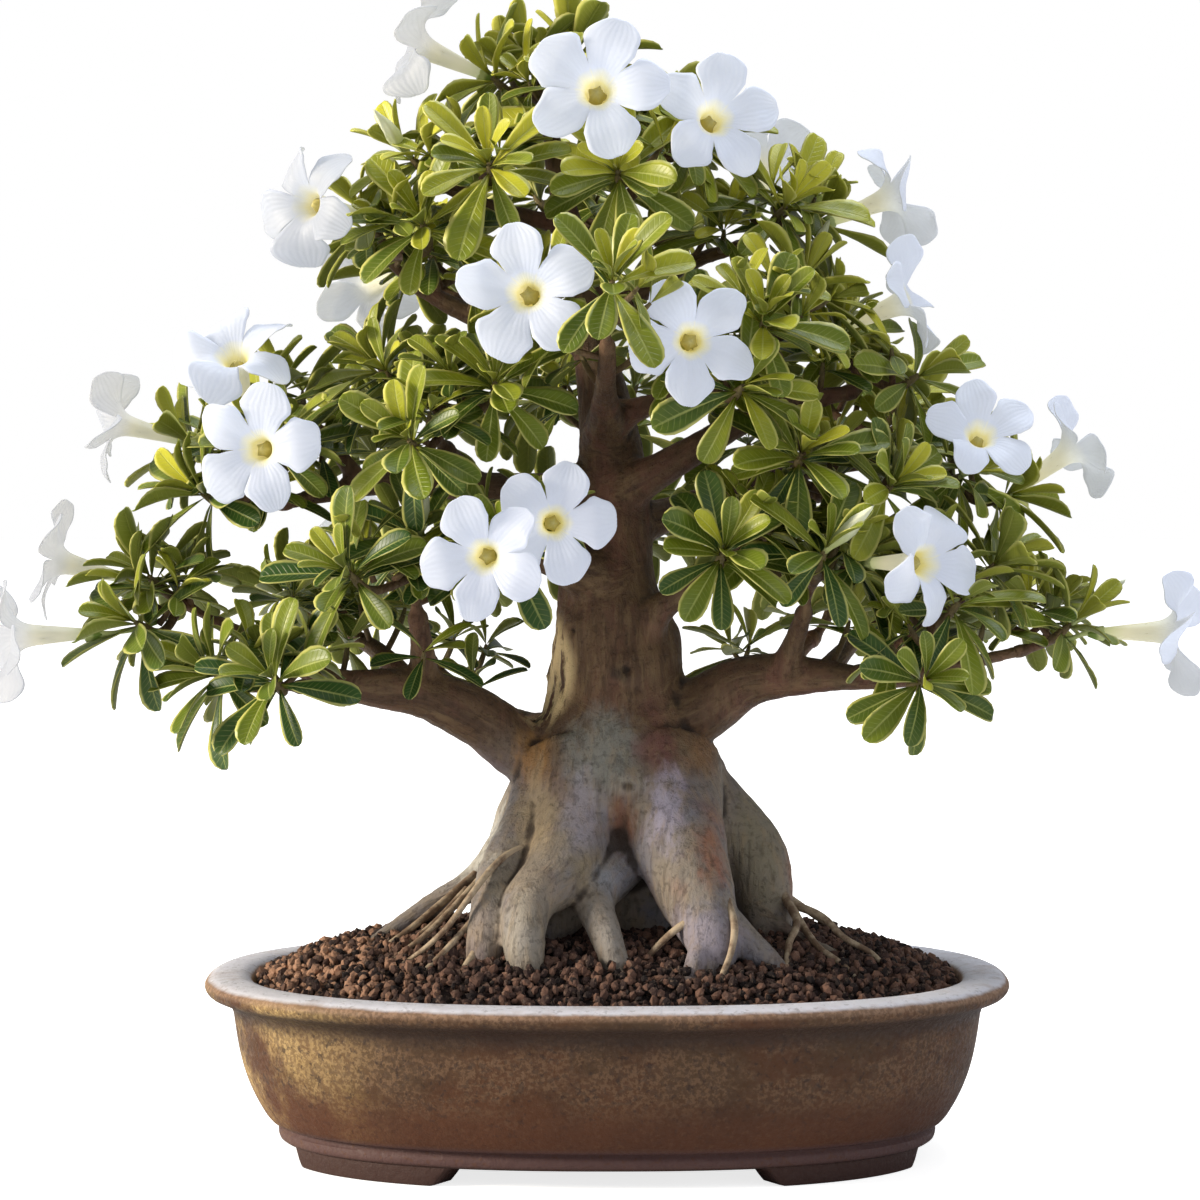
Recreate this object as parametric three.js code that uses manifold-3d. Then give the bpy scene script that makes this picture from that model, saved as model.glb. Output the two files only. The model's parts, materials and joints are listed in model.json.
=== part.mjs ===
// A desert rose (adenium) grown as a bonsai in an oval stoneware pot.
// Millimetres, +Z up, the front faces -Y. The origin is on the table, under the middle of the pot.
import * as THREE from "three";
import { mergeVertices } from "three/addons/utils/BufferGeometryUtils.js";
import Module from "manifold-3d";

const wasm = await Module();
wasm.setup();

// ---------------------------------------------------------------- driving dimensions

const POT = {
  length: 402, // over the lip, along X
  depth: 310, // over the lip, along Y
  squareness: 2.4, // exponent of the rounded outline: 2 is an ellipse
  sides: 28,
  floorUnder: 9, // height of the floor's underside
  footInset: 39, // from the lip's edge to the foot's outer face
  footWidth: 17,
  frontGap: 150, // clear length between the two front feet, at the table
  endGap: 96, // the same between the feet at an end
  gapSlope: 5, // how far each foot's inner end leans
  holeRadius: 9,
  holeX: 82,
  holeSides: 12,
};

// The pot's wall as [inset from the lip's edge, height], from the underside up, over and down inside.
const POT_WALL = [
  [39, 9], [37, 11], [37, 15.5], [34, 18], [28.5, 25], [21.5, 38], [17.5, 52], [15, 69],
  [11.5, 77], [1.5, 81.5], [0.5, 87], [14, 91], [23, 89.5], [26, 84], [28, 52], [48, 18.5],
];

const SCREEN = { side: 30, thickness: 1, hole: 8, pitch: 12, count: 2, inSoil: 0.4 };

const SOIL = {
  // its side as [inset from the lip's edge, height], from the bottom up, clear of the pot's wall
  side: [[48.8, 18.9], [28.6, 52], [26.6, 84], [25.2, 86.5]],
  mound: 26, // how much higher it is in the middle than at the edge
  steepness: 3.5,
  grain: 1.7, // height of the lumps
  scatter: 0.25, // how far they stray inward or outward, as a share of the space between rings
  rings: 5,
  sides: POT.sides,
  rootGap: 0.5, // clear of the roots that stand in it
};

const SEAT = 0.3; // gap between pieces that touch
const PAST = 1; // how far a cutter reaches past what it cuts, and a joined piece into its neighbour

const LEAF = {
  length: 45,
  width: 18.5,
  thickness: 1.2,
  fold: 0.3, // how far the edges stand above the midrib, as a share of half the width
  stations: [0.46, 0.82], // where its outline is drawn, between the stalk (0) and the tip (1)
  lean: [0.95, 0.38], // from the shoot's axis, in the lower and the upper whorl, as a share of a right angle
  upperSize: 0.88, // the upper whorl's leaves against the lower's
  tipShape: 4, // the higher, the blunter the tip
  droop: [0.3, 0.6], // least and most bend along a leaf, in radians
  vary: { turn: 16, lean: 0.3, size: 0.26, width: 0.2 }, // full spread: degrees, radians and two shares
};

// How many sides wood has: limbs and roots stouter than `stout` where they start get more of them.
const WOOD = { trunkSides: 9, rootSides: 6, limbSides: 6, twigSides: 4, stout: 8.5 };

// A shoot's tip: three-sided, with two whorls of three leaves.
const SHOOT = { sides: 3, radius: 2.3, step: 2.4, tip: 1.5 };

const STALK = { radius: 1.6, sides: 4, straight: 4 }; // it meets the flower over a straight end

const FLOWER = {
  tube: 38, // from the foot of the tube to the mouth
  footRadius: 2.4,
  mouthRadius: 11,
  petal: 31.5, // radius over the petals
  thickness: 1.2,
  petals: 5,
  // a lobe's rim, as [degrees from its middle, share of the radius, height over the mouth]
  lobe: [[-27, 0.84, 4.5], [-2, 1, 2.5], [27, 0.88, 1]],
  crest: [0.62, 4.2], // the lobe's middle, likewise
  throat: 0.45, // how deep the throat goes, as a share of the tube
  lip: [1.1, 0.8], // how far the mouth stands in at a lobe's middle and over the tube's end
  notch: 1, // how far it stands out between two lobes
  vary: { flare: 2.2, reach: 0.1 }, // full spread: millimetres up or down, and a share of the radius
};

// A bud and its stalk, as [distance, radius].
const BUD_FORM = [[0, 1.2], [9, 1.3], [17, 3.4], [27, 2.6], [35, 0.6]];
const BUD_FOOT = 2.5; // how far up its shoot it starts, in steps

// ---------------------------------------------------------------- the tree's skeleton
// Every point is [x, y, z, radius].

const TRUNK = [
  [12, 0, 98, 26], [12, 0, 130, 35], [11, 0, 156, 45], [8, 0, 180, 54], [5, 0, 202, 46],
  [5, 0, 226, 36], [4, 0, 254, 31.5], [1, 1, 282, 25], [4, 4, 320, 18.5], [1, 6, 360, 15],
  [-6, 6, 400, 11], [-15, 6, 446, 8], [-27, 4, 501, 5], [-29, 2, 519, 4],
];

const ROOTS = {
  frontLeft: [
    [-12, -14, 190, 34], [-16, -36, 165, 23], [-24, -60, 145, 17], [-38, -78, 131, 12],
    [-40, -88, 112, 10], [-36, -93, 92, 6],
  ],
  left: [
    [-22, -6, 188, 25], [-36, -26, 165, 17], [-52, -52, 142, 12], [-58, -72, 117, 10.5], [-62, -80, 88, 6],
  ],
  farLeft: [
    [-20, 6, 192, 26], [-32, 10, 172, 19.5], [-47, 14, 152, 14], [-61, 12, 136, 10], [-92, 6, 119, 6.5],
    [-126, -6, 98, 4],
  ],
  middle: [
    [10, -22, 168, 22], [5, -40, 147, 14.5], [-6, -60, 132, 11], [-1, -79, 118, 8.5], [9, -92, 91, 6],
  ],
  under: [[0, -26, 150, 15], [-14, -40, 128, 10], [-27, -48, 114, 8], [-33, -52, 98, 6]],
  frontRight: [
    [24, -14, 190, 35], [33, -42, 163, 25.5], [44, -68, 132, 18], [50, -84, 110, 12], [50, -86, 92, 8],
  ],
  toeLeft: [[48, -82, 118, 8], [42, -95, 105, 6], [38, -99, 93, 4]],
  toeRight: [[58, -72, 120, 10], [70, -78, 110, 7.5], [83, -84, 99, 5.5], [88, -86, 88, 4]],
  right: [
    [26, 0, 190, 30], [50, -2, 168, 22.5], [70, -6, 150, 19.5], [78, -12, 130, 16],
    [81, -18, 113, 12], [82, -20, 96, 8],
  ],
  thinRight: [[82, -26, 118, 4], [98, -40, 110, 3], [112, -48, 104, 2.6], [121, -54, 92, 2.2]],
  backLeft: [
    [-16, 16, 188, 29], [-38, 44, 158, 20], [-50, 66, 132, 14], [-56, 80, 112, 10.5], [-58, 86, 96, 8],
  ],
  backRight: [
    [26, 18, 188, 33], [48, 46, 158, 22], [56, 68, 134, 15], [62, 82, 113, 11], [64, 88, 96, 8],
  ],
  back: [[4, 24, 182, 31], [4, 52, 154, 20], [0, 72, 132, 14], [6, 86, 112, 10], [10, 92, 96, 8]],
};

// Each limb is woody to its last point. There a leafy spray goes on to its rosettes, at tips [x, y, z].
const LIMBS = {
  leftLow: {
    path: [
      [0, -2, 206, 24], [-38, -7, 200, 17], [-64, -16, 218, 14.8], [-88, -26, 230, 12.4],
      [-137, -37, 238, 7], [-160, -34, 251, 4.8], [-192, -30, 266, 3.4],
    ],
    tips: [[-222, -24, 284], [-224, -56, 264]],
  },
  leftLowUp: {
    path: [[-90, -25, 236, 9], [-91, -34, 254, 6.5], [-93, -40, 270, 5]],
    tips: [[-90, -61, 304], [-120, -84, 288]],
  },
  leftLowFront: {
    path: [[-130, -36, 238, 5.6], [-142, -52, 236, 4.4], [-150, -61, 236, 3.6]],
    tips: [[-156, -98, 238], [-184, -77, 240]],
  },
  leftLowBack: {
    path: [[-100, -24, 237, 7], [-116, 16, 250, 5], [-130, 38, 257, 4]],
    tips: [[-160, 47, 272], [-136, 74, 272]],
  },
  leftMid: {
    path: [
      [0, 6, 334, 14], [-24, 7, 331, 10], [-62, 12, 332, 8], [-113, 12, 334, 6],
      [-140, 2, 329, 4.8], [-162, -10, 324, 3.6],
    ],
    tips: [[-194, -28, 326], [-203, 2, 350], [-160, -34, 346]],
  },
  leftMidFront: {
    path: [[-66, 13, 333, 7], [-74, -7, 344, 5.4], [-80, -24, 352, 4.4]],
    tips: [[-54, -77, 378], [-92, -84, 352], [-108, -30, 386]],
  },
  leftMidUp: {
    path: [[-122, 8, 333, 5.4], [-132, 5, 346, 4.4], [-140, 2, 358, 3.6]],
    tips: [[-168, -2, 368]],
  },
  leftMidBack: {
    path: [[-78, 13, 335, 6.4], [-94, 42, 347, 5], [-104, 63, 354, 4]],
    tips: [[-130, 86, 362], [-96, 94, 380]],
  },
  leftTop: {
    path: [
      [-8, 6, 408, 10], [-43, 3, 411, 6.5], [-72, 1, 420, 5.2], [-94, -2, 432, 4],
    ],
    tips: [[-116, -10, 462], [-88, -52, 456]],
  },
  leftTopBack: {
    path: [[-56, 2, 414, 5.4], [-68, 27, 422, 4.2], [-76, 44, 428, 3.6]],
    tips: [[-100, 53, 440], [-70, 73, 450]],
  },
  topLeft: {
    path: [[-17, 6, 462, 7], [-36, -2, 466, 5], [-64, -16, 473, 3.6]],
    tips: [[-92, -28, 490], [-56, -64, 484]],
  },
  topRight: {
    path: [[-13, 6, 438, 8], [-4, 0, 460, 5.4], [22, -8, 488, 3.8]],
    tips: [[6, -56, 482], [40, -17, 500], [20, 19, 508]],
  },
  rightUpper: {
    path: [[-9, 7, 416, 9], [16, 9, 430, 6], [42, 9, 445, 4.8], [68, 5, 453, 3.6]],
    tips: [[84, -24, 466], [100, 11, 462]],
  },
  rightMidHigh: {
    path: [
      [8, 0, 330, 13], [22, -10, 338, 9.5], [43, -20, 351, 8], [70, -25, 367, 7], [122, -14, 380, 4],
    ],
    tips: [[114, -7, 404], [148, -24, 384]],
  },
  rightMidFront: {
    path: [[84, -25, 373, 5.6], [84, -40, 386, 4.6], [82, -52, 396, 3.8]],
    tips: [[74, -82, 408], [92, -37, 426]],
  },
  frontRight: {
    path: [[3, -2, 366, 10], [18, -17, 372, 6.4], [44, -40, 378, 4.2]],
    tips: [[40, -61, 400], [62, -84, 378]],
  },
  rightMid: {
    path: [[8, 9, 310, 13], [40, 22, 322, 8], [80, 32, 337, 6.4], [142, 21, 346, 4]],
    tips: [[172, -7, 336], [196, 13, 326]],
  },
  rightMidBack: {
    path: [[98, 32, 342, 5.4], [116, 51, 350, 4.4], [126, 65, 354, 3.8]],
    tips: [[150, 87, 362], [116, 94, 378]],
  },
  rightMidLow: {
    path: [[84, 32, 338, 6], [98, 12, 332, 4.8], [106, 0, 328, 4]],
    tips: [[134, -56, 330], [92, -67, 344]],
  },
  rightLow: {
    path: [
      [12, -2, 210, 23], [46, -6, 221, 17], [70, -10, 236.5, 13.2], [97, -16, 239, 9.4],
      [150, -14, 238.5, 5.8], [177, -8, 244, 4.2], [209, -1, 251, 3.2],
    ],
    tips: [[226, -10, 260], [206, 31, 268]],
  },
  rightLowTrunk: {
    path: [[12, -12, 256, 14], [26, -20, 272, 8], [54, -36, 292, 4.8]],
    tips: [[54, -82, 298], [76, -52, 308]],
  },
  rightLowUp: {
    path: [[88, -16, 242, 8], [94, -28, 260, 5.4], [97, -37, 272, 4.4]],
    tips: [[102, -86, 298], [120, -44, 294]],
  },
  rightLowFront: {
    path: [[126, -17, 239, 6], [138, -30, 248, 4.8], [146, -40, 256, 4]],
    tips: [[166, -64, 272], [186, -37, 290], [148, -84, 238]],
  },
  rightLowBack: {
    path: [[108, -16, 240, 7], [122, 21, 251, 5], [132, 42, 258, 4]],
    tips: [[162, 56, 272], [142, 84, 274]],
  },
  backLeftLow: {
    path: [
      [-6, 12, 208, 20], [-42, 53, 206, 11], [-72, 86, 221, 7.5], [-88, 106, 231, 5.6], [-99, 118, 248, 4.6],
    ],
    tips: [[-112, 127, 284], [-78, 138, 288]],
  },
  backRightLow: {
    path: [[14, 12, 212, 20], [52, 56, 220, 11], [90, 94, 236, 6.4], [110, 118, 252, 4.6]],
    tips: [[126, 126, 286], [90, 140, 290]],
  },
  backMid: {
    path: [[2, 12, 330, 13], [-2, 47, 348, 7.5], [-6, 80, 360, 5.4], [-8, 100, 367, 4]],
    tips: [[-36, 122, 378], [14, 129, 382]],
  },
  backLow: {
    path: [[4, 17, 262, 16], [6, 60, 280, 8], [6, 95, 292, 5.6], [4, 118, 298, 4.2]],
    tips: [[-26, 147, 308], [26, 151, 312]],
  },
  backTop: {
    path: [[-14, 7, 440, 7], [-12, 36, 456, 5], [-10, 56, 463, 3.8]],
    tips: [[-34, 74, 478], [38, 60, 462]],
  },
  frontMid: {
    path: [[0, 0, 360, 13], [-1, -52, 379, 6], [0, -84, 394, 4.6], [0, -98, 401, 4]],
    tips: [[2, -142, 424], [-28, -74, 418]],
  },
  frontLeft: {
    path: [[-8, -14, 290, 14], [-24, -34, 294, 7], [-33, -44, 296, 5]],
    tips: [[-46, -68, 302]],
  },
};
// The trunk's own top carries the last spray.
const CROWN_TIPS = [[-52, -7, 531], [-18, 12, 542], [-12, -37, 512]];

// Each bloom: the limb and tip that bear it, the foot of its tube, the way it faces, its roll in degrees
// and its size.
const BLOOMS = [
  ["crown", 0, [-59, -6, 536], [-0.87, -0.15, 0.38], 10, 1],
  ["crown", 2, [-5, -52, 515], [0, -0.97, 0.16], 0, 1.08],
  ["topRight", 1, [40, -29, 502], [0.3, -0.92, 0.22], 26, 1],
  ["leftTop", 0, [-122, -14, 468], [-0.62, -0.76, 0.08], 8, 1],
  ["rightUpper", 1, [109, 6, 464], [0.88, 0.1, 0.36], 50, 0.95],
  ["rightMidHigh", 0, [114, -14, 411], [0.86, -0.22, 0.34], 20, 0.98],
  ["frontMid", 1, [-33, -82, 421], [-0.12, -0.98, 0.08], 20, 1.04],
  ["frontRight", 0, [36, -71, 401], [0.1, -0.98, 0.04], 52, 0.98],
  ["leftMidUp", 0, [-178, -10, 369], [-0.12, -0.68, 0.72], 30, 1.02],
  ["leftMid", 1, [-210, 0, 355], [-0.95, -0.1, 0.26], 40, 0.92],
  ["leftMid", 2, [-158, -46, 350], [-0.24, -0.96, 0.04], 62, 0.98],
  ["leftLow", 0, [-237, -20, 287], [-0.96, 0.12, 0.24], 15, 0.96],
  ["leftLow", 1, [-248, -64, 262], [-0.97, -0.2, -0.02], 48, 0.98],
  ["frontLeft", 0, [-53, -94, 301], [-0.12, -0.99, 0], 38, 0.94],
  ["frontLeft", 0, [-29, -71, 315], [0.1, -0.99, 0.04], 5, 0.92],
  ["rightMid", 0, [177, -14, 340], [0.16, -0.82, 0.52], 34, 0.9],
  ["rightMid", 1, [206, 16, 330], [0.78, 0.12, 0.58], 12, 0.94],
  ["rightLowUp", 1, [126, -56, 296], [0.68, -0.72, 0.02], 30, 1],
  ["rightLow", 0, [242, -14, 260], [0.98, -0.06, 0.02], 56, 1],
  ["rightUpper", 1, [78, 38, 475], [0.1, 0.7, 0.7], 20, 0.9],
  ["leftTopBack", 0, [-105, 60, 441], [-0.5, 0.8, -0.14], 45, 0.92],
  ["backMid", 1, [16, 135, 388], [0.1, 0.95, 0.24], 12, 1],
  ["backLeftLow", 0, [-118, 134, 288], [-0.45, 0.85, 0.22], 30, 1],
];

// Closed buds: limb, tip, and how far each leans from the shoot's axis.
const BUDS = [
  ["rightMidFront", 1, 0.2], ["rightLowUp", 0, 0.45], ["rightLow", 0, 0.5], ["leftLowUp", 0, 0.4],
  ["backTop", 1, 0.3], ["backRightLow", 0, 0.4], ["topLeft", 0, 0.4],
];

// ---------------------------------------------------------------- small tools

const vec = (a) => new THREE.Vector3(a[0], a[1], a[2]);
const along = (p, d, t) => p.clone().addScaledVector(d, t);

// A repeatable number from 0 to 1 for whole numbers a, b and c.
function chance(a, b, c) {
  let h = (Math.imul(a, 374761393) + Math.imul(b, 668265263) + Math.imul(c, 1442695041)) >>> 0;
  h = Math.imul(h ^ (h >>> 13), 1274126177) >>> 0;
  return ((h ^ (h >>> 16)) >>> 0) / 4294967296;
}

// Collects triangles: face(a, b, c) adds one, and geometry() gives them all.
function collector() {
  const out = [];
  const face = (a, b, c) => out.push(a.x, a.y, a.z, b.x, b.y, b.z, c.x, c.y, c.z);
  const geometry = () =>
    new THREE.BufferGeometry().setAttribute("position", new THREE.Float32BufferAttribute(out, 3));
  return { face, geometry };
}

// Joins a stack of rings, each with its points counterclockwise about the way the stack runs. A ring of
// one point is a tip.
function skin(rings, face) {
  for (let k = 0; k + 1 < rings.length; k++) {
    const [a, b] = [rings[k], rings[k + 1]];
    const n = Math.max(a.length, b.length);
    for (let i = 0; i < n; i++) {
      const j = (i + 1) % n;
      if (a.length > 1) face(a[i], a[j], b[b.length > 1 ? j : 0]);
      if (b.length > 1) face(a[a.length > 1 ? i : 0], b[j], b[i]);
    }
  }
}

// Closes a ring with a flat face that looks along the stack, or back along it.
function cap(ring, face, back) {
  for (let i = 1; i + 1 < ring.length; i++)
    if (back) face(ring[0], ring[i + 1], ring[i]);
    else face(ring[0], ring[i], ring[i + 1]);
}

function loft(rings) {
  const { face, geometry } = collector();
  skin(rings, face);
  cap(rings[0], face, true);
  cap(rings[rings.length - 1], face, false);
  return geometry();
}

function toSolid(geometry) {
  const bare = new THREE.BufferGeometry().setAttribute(
    "position",
    (geometry.index ? geometry.toNonIndexed() : geometry).getAttribute("position"),
  );
  const merged = mergeVertices(bare, 1e-3);
  const vertProperties = merged.attributes.position.array;
  const triVerts = new Uint32Array(merged.index.array);
  return new wasm.Manifold(new wasm.Mesh({ numProp: 3, vertProperties, triVerts }));
}

function toGeometry(solid) {
  const mesh = solid.getMesh();
  const geometry = new THREE.BufferGeometry();
  geometry.setAttribute("position", new THREE.BufferAttribute(mesh.vertProperties, 3));
  geometry.setIndex(new THREE.BufferAttribute(mesh.triVerts, 1));
  geometry.computeVertexNormals();
  return geometry;
}

const join = (solids) => solids.reduce((whole, next) => whole.add(next));

// A tapering tube through points [x, y, z, radius], with its ends square to the path.
function branch(points, sides, extra = 0) {
  const places = points.map(vec);
  const last = places.length - 1;
  const ways = places.map((_, k) =>
    places[Math.min(k + 1, last)].clone().sub(places[Math.max(k - 1, 0)]).normalize(),
  );
  const side = new THREE.Vector3(0, 1, 0);
  if (Math.abs(ways[0].y) > 0.8) side.set(1, 0, 0);
  const rings = places.map((place, k) => {
    side.addScaledVector(ways[k], -side.dot(ways[k])).normalize();
    const other = ways[k].clone().cross(side);
    const reach = k === 0 ? -extra : k === last ? extra : 0;
    const middle = along(place, ways[k], reach);
    const radius = points[k][3] + extra;
    return Array.from({ length: sides }, (_, i) => {
      const turn = (i / sides) * 2 * Math.PI;
      return along(along(middle, side, radius * Math.cos(turn)), other, radius * Math.sin(turn));
    });
  });
  return toSolid(loft(rings));
}

// ---------------------------------------------------------------- pot, screens and soil

const floorTop = POT_WALL[POT_WALL.length - 1][1];

// One level outline of the pot, inset from the lip's edge.
function potRing(inset, height, sides = POT.sides) {
  const power = 2 / POT.squareness;
  return Array.from({ length: sides }, (_, i) => {
    const turn = (i / sides) * 2 * Math.PI;
    const [c, s] = [Math.cos(turn), Math.sin(turn)];
    return new THREE.Vector3(
      (POT.length / 2 - inset) * Math.sign(c) * Math.abs(c) ** power,
      (POT.depth / 2 - inset) * Math.sign(s) * Math.abs(s) ** power,
      height,
    );
  });
}

// A bar with sloping sides that clears the space between two feet.
function footGap(width, run, height) {
  const half = width / 2;
  const profile = new THREE.Shape();
  profile.moveTo(-half, -PAST);
  profile.lineTo(half, -PAST);
  profile.lineTo(half + POT.gapSlope, height);
  profile.lineTo(-half - POT.gapSlope, height);
  const bar = new THREE.ExtrudeGeometry(profile, { depth: run, bevelEnabled: false });
  return bar.translate(0, 0, -run / 2).rotateX(Math.PI / 2);
}

function makePot() {
  const wall = POT_WALL.map(([inset, height]) => potRing(inset, height));
  const under = [new THREE.Vector3(0, 0, POT.floorUnder)];
  const floor = [new THREE.Vector3(0, 0, floorTop)];
  const bowl = toSolid(loft([under, ...wall, floor]));
  const footTop = POT.floorUnder + 2 * PAST;
  const footOuter = toSolid(loft([potRing(POT.footInset, 0), potRing(POT.footInset, footTop)]));
  const inner = POT.footInset + POT.footWidth;
  const footInner = toSolid(loft([potRing(inner, -PAST), potRing(inner, POT.floorUnder)]));
  const long = toSolid(footGap(POT.frontGap, POT.depth, POT.floorUnder));
  const short = toSolid(footGap(POT.endGap, POT.length, POT.floorUnder).rotateZ(Math.PI / 2));
  const feet = footOuter.subtract(footInner).subtract(long).subtract(short);
  const hole = (x) => {
    const deep = 2 * floorTop;
    const drill = new THREE.CylinderGeometry(POT.holeRadius, POT.holeRadius, deep, POT.holeSides);
    return toSolid(drill.rotateX(Math.PI / 2).translate(x, 0, POT.floorUnder));
  };
  return bowl.add(feet).subtract(hole(-POT.holeX)).subtract(hole(POT.holeX));
}

const screenBase = floorTop + SEAT;

// A square of plastic mesh that keeps the soil out of a drainage hole.
function makeScreen(x) {
  const { side, thickness, hole, pitch, count } = SCREEN;
  const plate = toSolid(new THREE.BoxGeometry(side, side, thickness));
  const holes = [];
  for (let row = 0; row < count; row++)
    for (let column = 0; column < count; column++) {
      const offset = (n) => (n - (count - 1) / 2) * pitch;
      const cutter = new THREE.BoxGeometry(hole, hole, 3 * thickness);
      holes.push(toSolid(cutter.translate(offset(column), offset(row), 0)));
    }
  return plate.subtract(join(holes)).translate([x, 0, screenBase + thickness / 2]);
}

// The roots as separate tubes, grown by `extra` all round.
const rootTubes = (extra = 0) =>
  Object.values(ROOTS).map((path) =>
    branch(path, path[0][3] > WOOD.stout ? WOOD.rootSides : WOOD.twigSides, extra),
  );

// How high the soil stands at a share of the way from the middle (0) to the edge (1).
const soilEdge = SOIL.side[SOIL.side.length - 1][1];
const soilHeight = (share) => soilEdge + SOIL.mound * (1 - share ** SOIL.steepness);

function makeSoil() {
  const side = SOIL.side.map(([inset, height]) => potRing(inset, height, SOIL.sides));
  const edge = side[side.length - 1];
  const rings = [[new THREE.Vector3(0, 0, SOIL.side[0][1])], ...side];
  for (let k = SOIL.rings - 1; k > 0; k--) {
    const share = k / SOIL.rings;
    rings.push(
      edge.map((p, i) => {
        const lump = (2 * chance(k, i, 1) - 1) * SOIL.grain;
        const out = share + ((2 * chance(k, i, 2) - 1) * SOIL.scatter) / SOIL.rings;
        return new THREE.Vector3(p.x * out, p.y * out, soilHeight(share) + lump);
      }),
    );
  }
  const heap = toSolid(loft([...rings, [new THREE.Vector3(0, 0, soilHeight(0))]]));
  const pocket = (x) => {
    const wide = SCREEN.side + 2 * SCREEN.inSoil;
    const high = SCREEN.thickness + 2 * SCREEN.inSoil;
    const box = new THREE.BoxGeometry(wide, wide, 2 * high);
    return toSolid(box.translate(x, 0, screenBase));
  };
  const stump = branch(TRUNK.slice(0, 3), WOOD.trunkSides, SOIL.rootGap);
  const rootHoles = join([stump, ...rootTubes(SOIL.rootGap)]);
  return heap.subtract(rootHoles).subtract(pocket(-POT.holeX)).subtract(pocket(POT.holeX));
}

// ---------------------------------------------------------------- wood

function makeTrunk() {
  const parts = [branch(TRUNK, WOOD.trunkSides), ...rootTubes()];
  for (const { path } of Object.values(LIMBS))
    parts.push(branch(path, path[0][3] > WOOD.stout ? WOOD.limbSides : WOOD.twigSides));
  return join(parts);
}

// ---------------------------------------------------------------- shoots

// Every spray starts at its limb's cut end and carries a shoot at each tip: its foot, its axis, its number.
const SPRAYS = [
  ...Object.entries(LIMBS).map(([name, limb]) => ({ name, end: limb.path.slice(-2), tips: limb.tips })),
  { name: "crown", end: TRUNK.slice(-2), tips: CROWN_TIPS },
];
// What a shoot's axis is mixed from: away from the limb's end, away from the middle, and up.
const OUTWARD = { fromSeat: 0.7, fromMiddle: 0.45, upward: 0.65 };
let shootCount = 0;
for (const spray of SPRAYS) {
  spray.seat = vec(spray.end[1]);
  spray.way = spray.seat.clone().sub(vec(spray.end[0])).normalize();
  spray.radius = spray.end[1][3];
  spray.shoots = spray.tips.map((tip) => {
    const foot = vec(tip);
    const axis = foot.clone().sub(spray.seat).normalize().multiplyScalar(OUTWARD.fromSeat);
    axis.add(new THREE.Vector3(foot.x, foot.y, 0).normalize().multiplyScalar(OUTWARD.fromMiddle));
    axis.z += OUTWARD.upward;
    return { foot, axis: axis.normalize(), number: shootCount++ };
  });
}
const shootAt = (name, tip) => SPRAYS.find((spray) => spray.name === name).shoots[tip];

const TWIG = {
  start: 0.9, // its first radius against the limb's last
  bend: 0.3, // where it bends, as a share of the way to the first shoot
  pull: 0.35, // how far the bend is drawn towards that shoot
  fork: 0.25, // how much farther on each later twig starts
  stalkAt: 0.55, // where a flower's stalk leaves the last stretch of a twig
};

// The points [x, y, z, radius] of the twig under a shoot. The first shoot's twig leaves the limb's end
// and bends, and each other one goes straight from that bend.
function twigPath(spray, order) {
  const { foot, axis } = spray.shoots[order];
  const end = [...along(foot, axis, -SHOOT.step).toArray(), SHOOT.radius];
  const from = along(spray.seat, spray.way, SEAT);
  const thick = spray.radius * TWIG.start;
  const first = spray.shoots[0].foot;
  const knee = along(from, spray.way, first.distanceTo(from) * TWIG.bend).lerp(first, TWIG.pull);
  if (order === 0) return [[...from.toArray(), thick], [...knee.toArray(), (thick + SHOOT.radius) / 2], end];
  const fork = knee.lerp(first, TWIG.fork * (order - 1));
  return [[...fork.toArray(), SHOOT.radius], end];
}

// ---------------------------------------------------------------- leaves

// The middle line of a leaf at t, and its upward side there: an arc that droops from the way it starts.
function leafPoint(leaf, t) {
  const bend = leaf.droop * t;
  const reach = (Math.sin(bend) / leaf.droop) * leaf.length;
  const fall = ((1 - Math.cos(bend)) / leaf.droop) * leaf.length;
  const middle = along(along(leaf.foot, leaf.way, reach), leaf.up, -fall);
  const up = leaf.up.clone().multiplyScalar(Math.cos(bend)).addScaledVector(leaf.way, Math.sin(bend));
  return { middle, up };
}

// Half the width of a leaf at t: widest at three quarters, with a round tip.
const leafShape = (t) => t ** 1.1 * Math.sqrt(1 - t ** LEAF.tipShape);
const leafHalfWidth = (leaf, t) => ((leafShape(t) / leafShape(0.75)) * leaf.width) / 2;

// The leaf at a place on a shoot: a wide lower whorl of three and a steeper upper one between them.
function shootLeaf(shoot, place, swing) {
  const { axis, number } = shoot;
  const whorl = Math.floor(place / SHOOT.sides);
  const { side, other } = shootFrame(shoot);
  const jitter = (c) => chance(number, place, c) - 0.5;
  const { vary, droop } = LEAF;
  const turn = shootTurn(place) + ((swing + vary.turn * jitter(5)) * Math.PI) / 180;
  const lean = (LEAF.lean[whorl] * Math.PI) / 2 + vary.lean * jitter(1);
  const out = side.clone().multiplyScalar(Math.cos(turn)).addScaledVector(other, Math.sin(turn));
  const size = (whorl ? LEAF.upperSize : 1) + vary.size * jitter(2);
  return {
    foot: along(shoot.foot, axis, SHOOT.step * (whorl + 1)),
    way: axis.clone().multiplyScalar(Math.cos(lean)).addScaledVector(out, Math.sin(lean)),
    up: axis.clone().multiplyScalar(Math.sin(lean)).addScaledVector(out, -Math.cos(lean)),
    length: LEAF.length * size,
    width: LEAF.width * size * (1 + vary.width * jitter(3)),
    droop: droop[0] + (droop[1] - droop[0]) * chance(number, place, 4),
  };
}

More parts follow.
